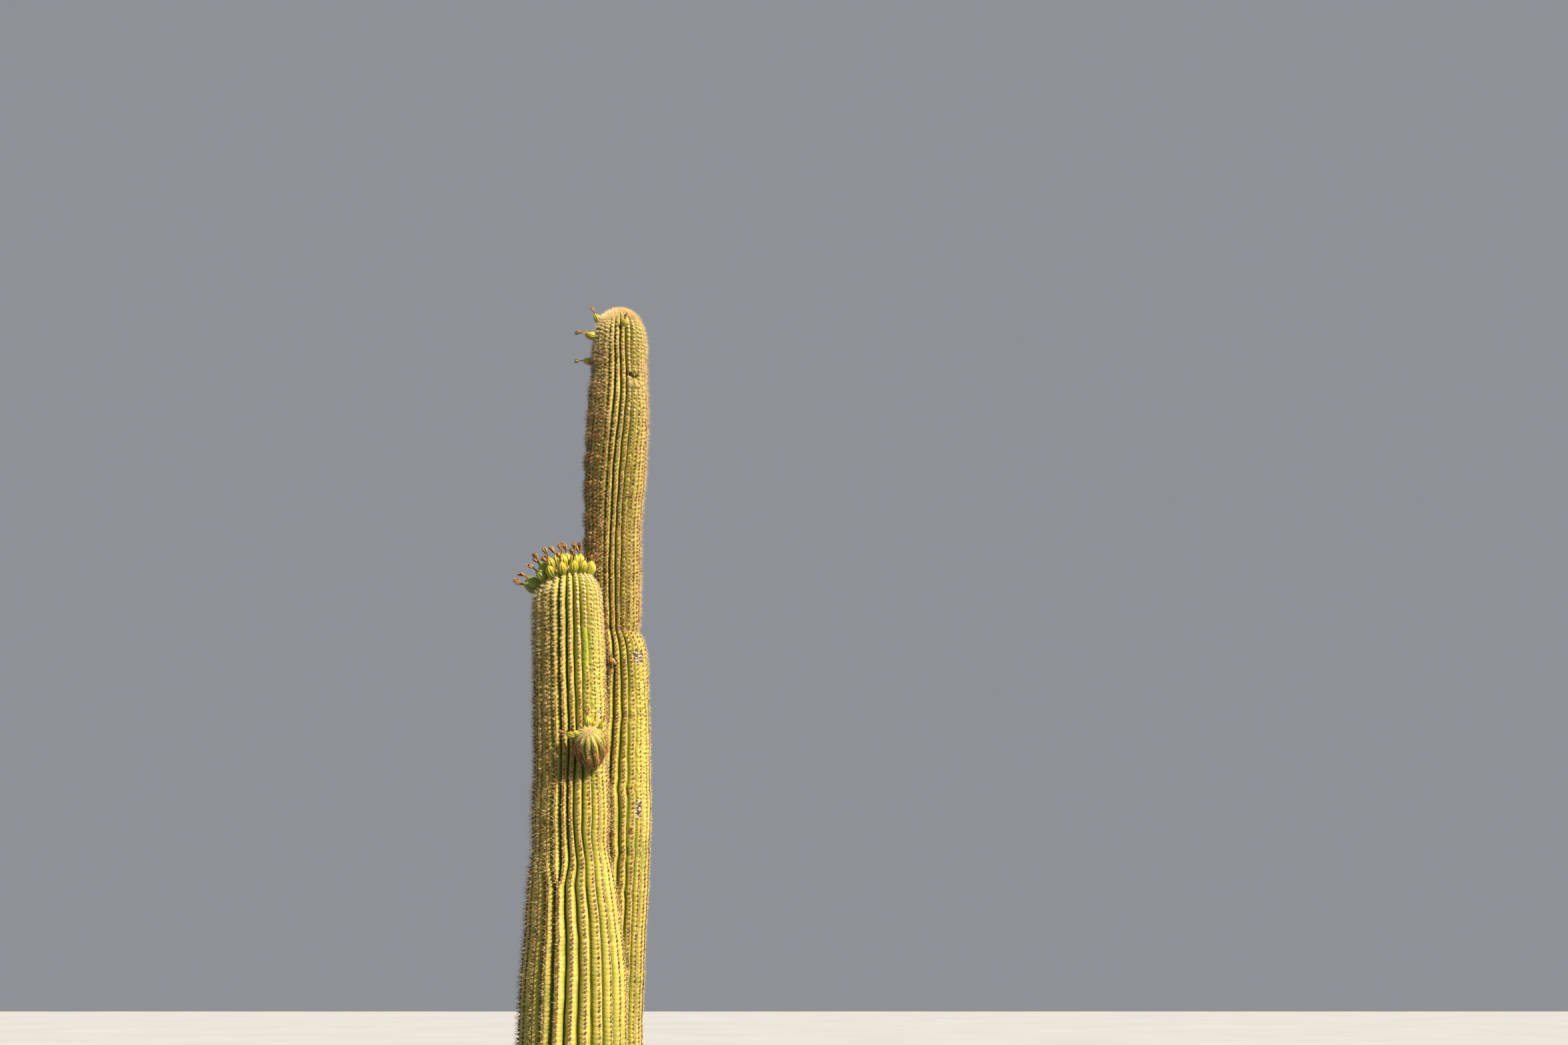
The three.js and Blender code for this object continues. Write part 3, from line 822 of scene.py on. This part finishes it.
# Kinds of spine cluster, each with its long spines and then the short ones round them: how many, the least
# and most degrees away from straight out, the least and most length, the width, and how far they droop.
CLUSTERS = dict(
    cap=[(24, 0, 50, 10, 38, 1.7, 0), (10, 50, 85, 10, 18, 1.6, 0)],
    crown=[(10, 0, 60, 9, 24, 1.5, 0), (6, 50, 85, 8, 14, 1.4, 0)],
    shaggy=[(16, 0, 68, 17, 34, 1.5, 0.25), (8, 50, 85, 10, 18, 1.4, 0)],
    dry=[(16, 10, 60, 24, 56, 2.0, 1.1), (8, 50, 85, 10, 18, 1.6, 0)],
    arm=[(4, 10, 70, 8, 20, 1.5, 0), (6, 56, 86, 5, 11, 1.5, 0)],
    arm_foot=[(16, 5, 75, 12, 30, 1.8, 0.2), (12, 50, 88, 9, 18, 1.7, 0)],
    thick=[(12, 2, 64, 15, 30, 1.6, 0), (9, 55, 85, 9, 15, 1.4, 0)],
    usual=[(8, 8, 68, 10, 26, 1.9, 0.15), (11, 52, 86, 8, 16, 1.9, 0)],
    sparse=[(4, 10, 70, 9, 21, 2.2, 0), (9, 56, 86, 8, 15, 2.1, 0)],
    straggling=[(7, 8, 66, 16, 46, 2.0, 0), (6, 60, 85, 8, 13, 1.5, 0)],
)


BAND_SPACING = 140  # shaggy spines are longer in bands about this far apart
BAND_GAIN = 0.14
BAND_TILT, BAND_SWAY, BAND_SWAY_LENGTH = 12, 22, 97


def bands(station, azimuth):
    """-1 to 1, where a stem's spines are shorter or longer."""
    sway = BAND_TILT * np.sin(np.radians(3 * azimuth)) + BAND_SWAY * np.sin(station / BAND_SWAY_LENGTH)
    return np.sin(2 * math.pi * (station + sway) / BAND_SPACING)


# Where other kinds than the usual one stand: [kind, azimuth, half spread, lowest station, highest station].
# Where two hold, the later one counts.
ALL_ROUND, TIP = 181, 9999
FRONT_KINDS = [
    ["sparse", 0, ALL_ROUND, 0, 2350],
    ["sparse", 330, 55, 2350, TIP],
    ["thick", 212, 46, 2350, TIP],
    ["straggling", 212, 50, 900, 2350],
]
REAR_KINDS = [
    ["sparse", 0, ALL_ROUND, 0, 3150],
    ["thick", 256, 15, 1900, TIP],
    ["thick", 355, 42, 3250, TIP],
]
ARM_KINDS = [["arm_foot", 0, ALL_ROUND, 0, 140]]
REAR_THICK_TOP, REAR_CAP, ARM_CROWN = 360, 140, 24  # ways below the tip where these kinds begin
SHAGGY_TOP, SHAGGY_EDGE, SHAGGY_BAND = 330, 0.25, -0.45
DRY_EDGE = 0.3


def kinds_by_place(sites, usual, rules):
    """The kind of cluster that each site has, by its place alone."""
    kinds = np.full(len(sites["station"]), usual, dtype=object)
    for kind, middle, spread, low, high in rules:
        near = np.abs(turned(sites["azimuth"], middle)) < spread
        kinds[near & (sites["station"] > low) & (sites["station"] < high)] = kind
    return kinds


def rear_clusters(sites):
    kinds = kinds_by_place(sites, "usual", REAR_KINDS)
    kinds[sites["below_tip"] < REAR_THICK_TOP] = "thick"
    shaggy = (sites["shaggy"] > SHAGGY_EDGE) & (sites["below_tip"] > SHAGGY_TOP)
    kinds[shaggy & (sites["band"] > SHAGGY_BAND)] = "thick"
    kinds[shaggy & (sites["band"] > 0.0)] = "shaggy"
    kinds[sites["dry"] > DRY_EDGE] = "dry"
    kinds[sites["below_tip"] < REAR_CAP] = "cap"
    return kinds


def arm_clusters(sites):
    kinds = kinds_by_place(sites, "arm", ARM_KINDS)
    kinds[sites["below_tip"] < ARM_CROWN] = "crown"
    return kinds


SPINE_SEED = 31
LOWEST_TIP = 2  # no spine's tip is lower
SITE_SAY = 0.4  # how far the spines of one cushion share their colour
SUNLIT_SIDE = 345  # azimuth of the side whose spines are palest, as painted light: it faces the key light
CREAM_SHARES = (0.36, 0.62)  # of a stem's spines, away from that side and on it
# shares of dark spines, away from that side and on it: painted shade
DARK_SHARES = (0.36, 0.16)
ARM_CREAM, TOP_CREAM, DRY_CREAM = 0.3, 0.97, 0.85
SHAGGY_CREAM_LOSS = 0.12
CREAM_TOP = (360, 170)  # ways below the tip between which the spines turn cream
PALE_TOP = (900, 450)  # and the cushions pale
OLD_FOOT = (2400, 1300)  # stations between which cushions grow old and spines short, going down
ARM_TOP = (172, 225)  # stations between which the arm's spines turn cream
ARM_PALE = 0.3  # share of the arm's cushions that are pale below that
OLD_REACH, TOP_REACH = 0.85, 0.8  # shares of their length that spines keep at the old foot and at the top


def build_spines(prefix, sites, kinds, shares, materials, rng):
    """All spines of a limb, in a piece for each colour. shares are each site's of cream and dark ones."""
    parts = []
    for kind, sizes in CLUSTERS.items():
        picked = chosen(sites, kinds == kind)
        cream, dark = (share[kinds == kind] for share in shares)
        for size in sizes:
            foot, tip, width, owner = spines_of(picked, rng, *size)
            draw = SITE_SAY * rng.uniform(0, 1, len(picked["point"]))[owner]
            draw = draw + (1 - SITE_SAY) * rng.uniform(0, 1, len(owner))
            colour = np.where(draw < cream[owner], 0, np.where(draw > 1 - dark[owner], 2, 1))
            parts.append((foot, tip, width, colour))
    foot, tip, width, colour = (np.concatenate(values) for values in zip(*parts))
    tip[:, 2] = np.maximum(tip[:, 2], LOWEST_TIP)
    for number, (label, material) in enumerate(materials.items()):
        mask = colour == number
        points, faces = spine_pyramids(foot[mask], tip[mask], width[mask])
        piece = mesh_piece(f"{prefix}_spines_{label}", points, faces.tolist(), [material], smooth=False)


def dress_with_spines(limb, sites, kinds, materials, cushion_materials):
    """Cushions and spines of one limb, in pieces of one colour each."""
    rng = np.random.default_rng(SPINE_SEED)
    # painted light and shade: more cream spines and fewer dark ones towards the side that faces the light
    sunlit = np.clip(np.cos(np.radians(turned(sites["azimuth"], SUNLIT_SIDE))), 0, 1)
    if limb.rooted:
        top = smoothstep(sites["below_tip"], *CREAM_TOP)
        age = smoothstep(sites["station"], *OLD_FOOT)
        pale_share = smoothstep(sites["below_tip"], *PALE_TOP)
        cream = lerp(*CREAM_SHARES, sunlit)
    else:
        top = smoothstep(sites["station"], *ARM_TOP)
        age = np.zeros(len(top))
        pale_share = lerp(ARM_PALE, 1.0, top)
        cream = ARM_CREAM
    sites["reach"] = lerp(1.0, OLD_REACH, age) * (1 + BAND_GAIN * sites["band"] * sites["shaggy"])
    sites["reach"] *= lerp(1.0, TOP_REACH, top)
    dry = sites["dry"] > DRY_EDGE
    cream = np.where(dry, DRY_CREAM, lerp(cream, TOP_CREAM, top) - SHAGGY_CREAM_LOSS * sites["shaggy"])
    dark = np.where(dry, 0.0, lerp(lerp(*DARK_SHARES, sunlit), 0.0, top))
    build_spines(limb.name, sites, kinds, (cream, dark), materials, rng)
    draw = rng.uniform(0, 1, len(sunlit))
    pale = draw < pale_share
    old = ~pale & (draw < age)
    for label, mask in (("pale", pale), ("brown", ~pale & ~old), ("old", old)):
        if mask.any():
            picked = chosen(sites, mask)
            piece = build_cushions(f"{limb.name}_cushions_{label}", picked, cushion_materials[label], rng)


# Fruit, by the rule of the solids. Crown rows are (count, reach in x and y, first azimuth), and other fruit
# are (height, azimuth, rise, size, bend, roll).
FLOWER_FOOT = 76
FLOWER_END = 141
CROWN_MIDDLE = -26
CROWN_ROWS = [(16, 136, 124, 6), (10, 86, 76, 22), (4, 36, 30, 50)]
CROWN_UP = np.array([-0.2, 0.0, 0.98])
REAR_STEM_AZIMUTH = 53
REAR_FRUIT = [
    (4884, 188, 0.52, 0.76, 2, 0), (4812, 176, 0.2, 0.82, 28, 0), (4797, 208, 0.04, 0.66, 4, 0),
    (4674, 184, 0.02, 0.74, 8, 0), (4836, 284, 0.5, 0.56, 22, 120),
]
ARM_FRUIT = [
    (192, 101, 0.3, 0.68, 4, 180), (188, 44, 0.35, 0.55, 26, 80), (194, 74, 0.35, 0.38, 6, 0),
    (203, 197, 0.25, 0.56, 26, 165), (160, 165, 0.1, 0.7, 10, 40),
]


def scatter(n, kind):
    return math.sin(12.9898 * n + 4.1414 * kind)


def seat_at(limb, height, azimuth):
    """Where a limb's crests are at a height and azimuth, and the way out there, in the limb's frame."""
    low = np.array([min(height, limb.shoulder)])
    rise = max(0, height - limb.shoulder) / limb.dome
    crest = limb.crest(low)[0]
    centre = limb.centre(low)[0]
    turn = math.radians(azimuth)
    out = np.array([math.cos(turn), math.sin(turn), 0.0])
    reach = math.sqrt(1 - rise * rise)
    point = out * crest * reach + np.array([*centre, height])
    normal = out * reach / crest + np.array([0, 0, rise / limb.dome])
    return point, unit(normal)


def fruit_frame(limb, height, azimuth, up, rise, size, bend, roll):
    """A fruit's place: its origin, its three axes as columns times its size, and its flower's bend."""
    point, normal = seat_at(limb, height, azimuth)
    way = unit(lerp(normal, up, rise))
    side = level_side(way)
    down = np.cross(side, way)
    turn = math.radians(roll)
    across = math.cos(turn) * down + math.sin(turn) * side
    along = -math.sin(turn) * down + math.cos(turn) * side
    axes = limb.basis @ np.stack([across, along, way], 1) * size
    return limb.placed(point[None])[0], axes, bend


def crown_fruit(limb):
    crest = limb.shoulder_radius
    number = 0
    for count, reach_x, reach_y, start in CROWN_ROWS:
        for k in range(count):
            number += 1
            turn = math.radians(start + 360 * k / count + 3 * scatter(number, 1))
            x = CROWN_MIDDLE + reach_x * math.cos(turn)
            y = reach_y * math.sin(turn)
            reach = math.hypot(x, y) / crest
            height = limb.shoulder + limb.dome * math.sqrt(1 - reach * reach)
            near = max(0, math.cos(turn - math.radians(REAR_STEM_AZIMUTH)))
            yield fruit_frame(
                limb, height, math.degrees(math.atan2(y, x)), CROWN_UP,
                rise=0.1 + 0.5 * (1 - reach) + 0.08 * scatter(number, 2) + 0.3 * near,
                size=0.9 + 0.08 * near + 0.05 * scatter(number, 4),
                bend=14 + 10 * scatter(number, 5),
                roll=60 * scatter(number, 3),
            )


def listed_fruit(limb, fruit):
    for height, azimuth, rise, size, bend, roll in fruit:
        yield fruit_frame(limb, height, azimuth, UP, rise, size, bend, roll)


def put(points, placing):
    """Points of a fruit's own frame in the plant's, with the flower's bend."""
    origin, axes, bend = placing
    along = np.clip(points[:, 2] - FLOWER_FOOT, 0, None) / (FLOWER_END - FLOWER_FOOT)
    bent = points.copy()
    bent[:, 0] += bend * along**2
    return bent @ axes.T + origin


class Collector:
    """Gathers points and faces of many small things for one joined piece."""

    def __init__(self):
        self.points, self.faces, self.total = [], [], 0
        self.attributes = {}

    def add(self, points, faces, **attributes):
        self.points.append(points)
        self.faces.extend((np.asarray(faces) + self.total).tolist())
        self.total += len(points)
        for key, values in attributes.items():
            self.attributes.setdefault(key, []).append(values)

    def piece(self, name, material, smooth=True):
        attributes = {key: np.concatenate(values) for key, values in self.attributes.items()}
        return mesh_piece(name, np.concatenate(self.points), self.faces, [material], smooth, attributes)


def lathe(profile, sides, shape=lambda turn, share: 1.0):
    """A round body, open at its ends, from rows of [height, radius]. shape gives a factor for the radius."""
    turn = even_turns(sides)
    points = []
    for k, (height, radius) in enumerate(profile):
        r = radius * shape(turn, k / (len(profile) - 1))
        points.append(np.stack([r * np.cos(turn), r * np.sin(turn), np.full(sides, height)], 1))
    return np.concatenate(points), tube_faces(len(profile), sides)


FRUIT_PROFILE = [
    [-9, 15], [0, 20], [10, 24], [22, 26.4], [34, 27], [46, 25.6], [56, 22.4], [64, 17.8], [70, 12.6],
    [75, 8], [79, 5.6],
]
NECK_PROFILE = [[75, 5.8], [80, 4.4], [88, 3.5], [96, 3.8], [104, 6.2], [110, 7.5]]
FRUIT_RIDGES = 9
FRUIT_ROUND = 54
NECK_ROUND = 9
RIDGE_SHARPNESS = 0.8
FURROW_RADIUS, RIDGE_GAIN = 0.8, 0.24  # factors of a fruit's radius
RIDGE_ENDS = (0.08, 0.96)
FLATTENING = (0.9, 1.04)
SIDE_BEND = 5


def ridge_height(turn):
    """1 on a fruit's rounded lengthwise ridges and 0 in the sharp furrows between them."""
    return np.abs(np.cos(FRUIT_RIDGES / 2 * turn)) ** RIDGE_SHARPNESS


def ridged(turn, share):
    return FURROW_RADIUS + RIDGE_GAIN * ridge_height(turn) * np.sin(math.pi * np.clip(share, *RIDGE_ENDS))


def uneven_fruit(points, rng):
    """A fruit's body, a little flattened and bent."""
    uneven = points.copy()
    uneven[:, :2] *= rng.uniform(*FLATTENING, 2)
    along = np.clip(points[:, 2] / FLOWER_FOOT, 0, 1)
    uneven[:, :2] += rng.uniform(-SIDE_BEND, SIDE_BEND, 2) * (along * (1 - along))[:, None] * 4
    return uneven


def fruit_material(name, colour, ripe):
    """Fruit skin, with painted shade in its furrows and a deeper green foot."""
    shade = Shade(name, roughness=0.42, specular=0.45)
    skin = shade.mix(shade.range(shade.noise(26.0, 3), 0.36, 0.66), colour, ripe)
    for layer in FRUIT_LAYERS:
        skin = shade.lay(skin, *layer)
    shade.colour(skin)
    return shade.material


SHADED_FRUIT_X = -150  # fruit further left than this gets the darker green copy, as painted shade
FLOWER_SEED, FRUIT_SEED = 77, 78


def build_fruit(placings, nodes, lodged, materials):
    """placings and nodes go together, fruit by fruit. lodged holds the frames of fallen flowers."""
    flowers, tips, scales = Collector(), Collector(), Collector()
    bodies = {kind: Collector() for kind in FRUIT_COLOURS}
    replaced = {kind: [] for kind in FRUIT_COLOURS}
    rng = np.random.default_rng(FLOWER_SEED)
    shape_rng = np.random.default_rng(FRUIT_SEED)
    body_points, body_faces = lathe(FRUIT_PROFILE, FRUIT_ROUND, ridged)
    body_along = np.clip(body_points[:, 2] / FLOWER_FOOT, 0, 1)
    body_ridge = np.tile(ridge_height(even_turns(FRUIT_ROUND)), len(FRUIT_PROFILE))
    neck_points, neck_faces = lathe(NECK_PROFILE, NECK_ROUND)
    for node, placing in zip(nodes, placings):
        # fruit on the left, away from the light, take the darker green copy as painted shade
        kind = "fruit_shaded" if placing[0][0] < SHADED_FRUIT_X else "fruit_yellow"
        replaced[kind].append(node)
        body = uneven_fruit(body_points, shape_rng)
        bodies[kind].add(put(body, placing), body_faces, along=body_along, ridge=body_ridge)
        flowers.add(put(neck_points, placing), neck_faces)
        add_petals(flowers, tips, placing, rng)
        add_scales(scales, placing, rng)
    for placing in lodged:
        flowers.add(put(neck_points, placing), neck_faces)
        add_petals(flowers, tips, placing, rng)
    for name, parts in bodies.items():
        fruit = parts.piece(name, materials[name])
        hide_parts(*replaced[name])
    for name, parts in (("dry_flowers", flowers), ("dry_petals", tips)):
        parts.piece(name, materials[name], smooth=False)
    bracts = scales.piece("fruit_scales", materials["bract"], smooth=False)


LODGED_CLEAR = 12
LODGED_FLOWERS = [(3000, 272, 20, 0.95), (2950, 264, -25, 0.7)]  # (height, azimuth, lean, size)
LEAF_TURN = 2.4  # radians from one petal or scale to the next
TURN_PLAY = 0.25
OUTER_PETALS, INNER_PETALS = 20, 9
OUTER_SPREAD, INNER_SPREAD = (0.75, 1.1), (0.2, 0.6)
PETAL_HEIGHTS = (97, 108, 121, 134)
PETAL_ENDS = (-8, 6)  # how much lower or higher a petal may end
PETAL_RADII = (3.6, 8.5, 12.6, 9.5)
PETAL_WIDTHS = (1.6, 3.0, 3.3, 0.9)
PETAL_CURL, PETAL_TWIST = 3.5, 0.35
PETAL_FOLD = (0.8, 1.4)  # how far a petal's edges lie inside its middle, and its ridge outside
PALE_PETALS = 3  # every third petal is a pale one
SCALES = 14
SCALE_FOOT, SCALE_STEP = 12, 4.2
SCALE_PLAY = 0.2
SCALE_HALF_WIDTH, SCALE_DROP, SCALE_RISE = 1.6, 1.5, 3.4
SCALE_LIFT, SCALE_LEAN, SCALE_BULGE = 0.2, 0.5, 1.5


def add_petals(dark, light, placing, rng):
    """The withered flower: narrow folded petals that splay from the neck and close again."""
    corners = len(PETAL_HEIGHTS)
    edges = (0, corners, 2 * corners, 0)
    faces = [
        [low + j, high + j, high + j + 1, low + j + 1]
        for j in range(corners - 1) for low, high in zip(edges, edges[1:])
    ]
    for k in range(OUTER_PETALS + INNER_PETALS):
        turn = LEAF_TURN * k + rng.uniform(-TURN_PLAY, TURN_PLAY)
        spread = rng.uniform(*(OUTER_SPREAD if k < OUTER_PETALS else INNER_SPREAD))
        heights = np.array(PETAL_HEIGHTS, float)
        heights[-1] += rng.uniform(*PETAL_ENDS)
        radii = np.array(PETAL_RADII)
        radii[1:] *= spread
        radii[-1] += rng.uniform(-PETAL_CURL, PETAL_CURL)
        widths = np.array(PETAL_WIDTHS) * rng.uniform(0.8, 1.2)
        out, side = ways_at(turn + rng.uniform(-PETAL_TWIST, PETAL_TWIST) * np.linspace(0, 1, corners))
        middle = out * radii[:, None] + heights[:, None] * UP
        left = middle - side * widths[:, None] - out * PETAL_FOLD[0]
        right = middle + side * widths[:, None] - out * PETAL_FOLD[0]
        ridge = middle + out * PETAL_FOLD[1]
        petals = light if k % PALE_PETALS == 0 else dark
        petals.add(put(np.concatenate([left, ridge, right]), placing), faces)


def lodged_flower(limb, height, azimuth, lean, size):
    """The frame of a dry flower that hangs on a limb's spines. lean is degrees from straight down."""
    point, normal = seat_at(limb, height, azimuth)
    side = level_side(normal)
    turn = math.radians(lean)
    way = -math.cos(turn) * np.cross(normal, side) + math.sin(turn) * side
    axes = np.stack([np.cross(side, way), side, way], 1) * size
    return point + LODGED_CLEAR * normal - axes[:, 2] * FLOWER_END, axes, 0.0


def add_scales(scales, placing, rng):
    """A few small pointed scales on the fruit's skin."""
    heights, radii = zip(*FRUIT_PROFILE)
    for k in range(SCALES):
        out, side = ways_at(np.float64(LEAF_TURN * k + rng.uniform(-SCALE_PLAY, SCALE_PLAY)))
        height = SCALE_FOOT + SCALE_STEP * k
        middle = out * (np.interp(height, heights, radii) + SCALE_LIFT) + UP * height
        foot = middle - UP * SCALE_DROP
        points = np.array([
            foot - side * SCALE_HALF_WIDTH,
            foot + side * SCALE_HALF_WIDTH,
            middle + UP * SCALE_RISE + out * SCALE_LEAN,
            middle + out * SCALE_BULGE,
        ])
        scales.add(put(points, placing), [[0, 1, 3], [1, 2, 3], [2, 0, 3]])


def arm_basis():
    along = unit(ARM_TIP - ARM_FOOT)
    side = level_side(along)
    return np.stack([side, np.cross(along, side), along], 1)


FLOOR_SIZE, FLOOR_DROP = 80, 0.002
FLOOR_COLOURS = ((184, 188, 196), (189, 193, 200))
SURROUND_COLOUR = (222, 228, 236)
SURROUND_STRENGTH = 0.37
SUN_AZIMUTH, SUN_HEIGHT = 321, 38
SUN_ENERGY = 7.6
SUN_SIZE = 3
SUN_COLOUR = (1.0, 0.85, 0.63)
SUN_DISTANCE = 12
CAMERA_PLACE = (1.0495, -11.1, 1.6)
CAMERA_PITCH = 10.864
LENS, SENSOR = 50, 36


def add_stage():
    """A pale floor and a pale surround."""
    bpy.ops.mesh.primitive_plane_add(size=FLOOR_SIZE, location=(0, 0, -FLOOR_DROP))
    floor = bpy.context.object
    floor.name = "floor"
    shade = Shade("floor_pale", roughness=0.9, specular=0.1)
    shade.colour(shade.mix(shade.range(shade.noise(0.6, 2), 0.3, 0.7), *FLOOR_COLOURS))
    floor.data.materials.append(shade.material)
    floor.visible_diffuse = False  # the floor throws no light back on the plant
    world = bpy.data.worlds.new("surround")
    bpy.context.scene.world = world
    world.use_nodes = True
    background = world.node_tree.nodes["Background"]
    background.inputs["Color"].default_value = linear(SURROUND_COLOUR)
    background.inputs["Strength"].default_value = SURROUND_STRENGTH


def add_light():
    turn, rise = math.radians(SUN_AZIMUTH), math.radians(SUN_HEIGHT)
    way = Vector((math.cos(turn) * math.cos(rise), math.sin(turn) * math.cos(rise), math.sin(rise)))
    data = bpy.data.lights.new("key", "SUN")
    data.energy = SUN_ENERGY
    data.angle = math.radians(SUN_SIZE)
    data.color = SUN_COLOUR
    key = bpy.data.objects.new("key", data)
    key.rotation_euler = way.to_track_quat("Z", "Y").to_euler()
    key.location = way * SUN_DISTANCE
    bpy.context.scene.collection.objects.link(key)


def add_camera():
    data = bpy.data.cameras.new("camera")
    data.lens = LENS
    data.sensor_width = SENSOR
    camera = bpy.data.objects.new("camera", data)
    camera.location = CAMERA_PLACE
    camera.rotation_euler = Euler((math.radians(90 + CAMERA_PITCH), 0, 0))
    bpy.context.scene.collection.objects.link(camera)
    bpy.context.scene.camera = camera


STEM_PITCH, ARM_PITCH = 21.5, 14.5  # spacing of the cushions along a rib
STEM_COLUMNS = np.array([0, 0.06, 0.18, 0.34, 0.5, 0.66, 0.82, 0.94])
REAR_COLUMNS = np.array([0, 0.09, 0.28, 0.5, 0.72, 0.91])
FLOWER_ROUGHNESS, FLOWER_GRAIN = 0.85, 120.0
CUSHION_ROUGHNESS = 0.9


def build_limbs():
    """The front stem, the rear stem and the arm."""
    front = Limb("front", FRONT_STEM, seed=5, pitch=STEM_PITCH, columns=STEM_COLUMNS, tubercle=4.0)
    rear = Limb("rear", REAR_STEM, seed=9, pitch=STEM_PITCH, columns=REAR_COLUMNS, tubercle=3.1)
    arm = Limb(
        "arm", ARM, seed=12, pitch=ARM_PITCH, columns=STEM_COLUMNS, tubercle=3.0, cushion=0.62,
        rooted=False, basis=arm_basis(), origin=ARM_FOOT,
    )
    return front, rear, arm


def add_skins(front, rear, arm):
    skin = skin_material("saguaro_skin", STEM_GROOVE_SHADE)
    build_skin(front, "front_stem_skin", skin, "front_stem")
    build_skin(rear, "rear_stem_skin", skin, "rear_stem")
    build_skin(arm, "small_arm_skin", skin_material("arm_skin", ARM_GROOVE_SHADE), "small_arm")


def add_spines(front, rear, arm):
    made = {label: plain_material(f"spines_{label}", *pair) for label, pair in SPINE_COLOURS.items()}
    stem_spines = {label: made[label] for label in ("cream", "tan", "dark")}
    arm_spines = {label: made[label] for label in ("cream", "rust", "dark")}
    cushions = {
        label: plain_material(f"cushions_{label}", *pair, CUSHION_ROUGHNESS)
        for label, pair in CUSHION_COLOURS.items()
    }
    sites = cushion_sites(front, [rear, arm])
    dress_with_spines(front, sites, kinds_by_place(sites, "usual", FRONT_KINDS), stem_spines, cushions)
    sites = cushion_sites(rear, [front])
    dress_with_spines(rear, sites, rear_clusters(sites), stem_spines, cushions)
    sites = cushion_sites(arm, [front], first=FIRST_ARM_CUSHION, clear=ARM_TIP_CLEAR)
    dress_with_spines(arm, sites, arm_clusters(sites), arm_spines, cushions)


def add_fruit(front, rear, arm):
    placings = [*crown_fruit(front), *listed_fruit(rear, REAR_FRUIT), *listed_fruit(arm, ARM_FRUIT)]
    counts = dict(front=sum(row[0] for row in CROWN_ROWS), rear=len(REAR_FRUIT), arm=len(ARM_FRUIT))
    nodes = [f"{limb}_fruit_{k + 1}" for limb, count in counts.items() for k in range(count)]
    lodged = [lodged_flower(rear, *flower) for flower in LODGED_FLOWERS]
    materials = {kind: fruit_material(kind, *pair) for kind, pair in FRUIT_COLOURS.items()}
    materials.update(
        dry_flowers=plain_material("dry_flower", *DRY_FLOWER, FLOWER_ROUGHNESS, FLOWER_GRAIN),
        dry_petals=plain_material("dry_petal", *DRY_PETAL, FLOWER_ROUGHNESS, FLOWER_GRAIN),
        bract=plain_material("fruit_bract", *BRACT, scale=FLOWER_GRAIN),
    )
    build_fruit(placings, nodes, lodged, materials)


def main():
    limbs = build_limbs()
    add_skins(*limbs)
    add_spines(*limbs)
    add_fruit(*limbs)
    add_stage()
    add_light()
    add_camera()
    bpy.context.scene.view_settings.view_transform = "Standard"


main()
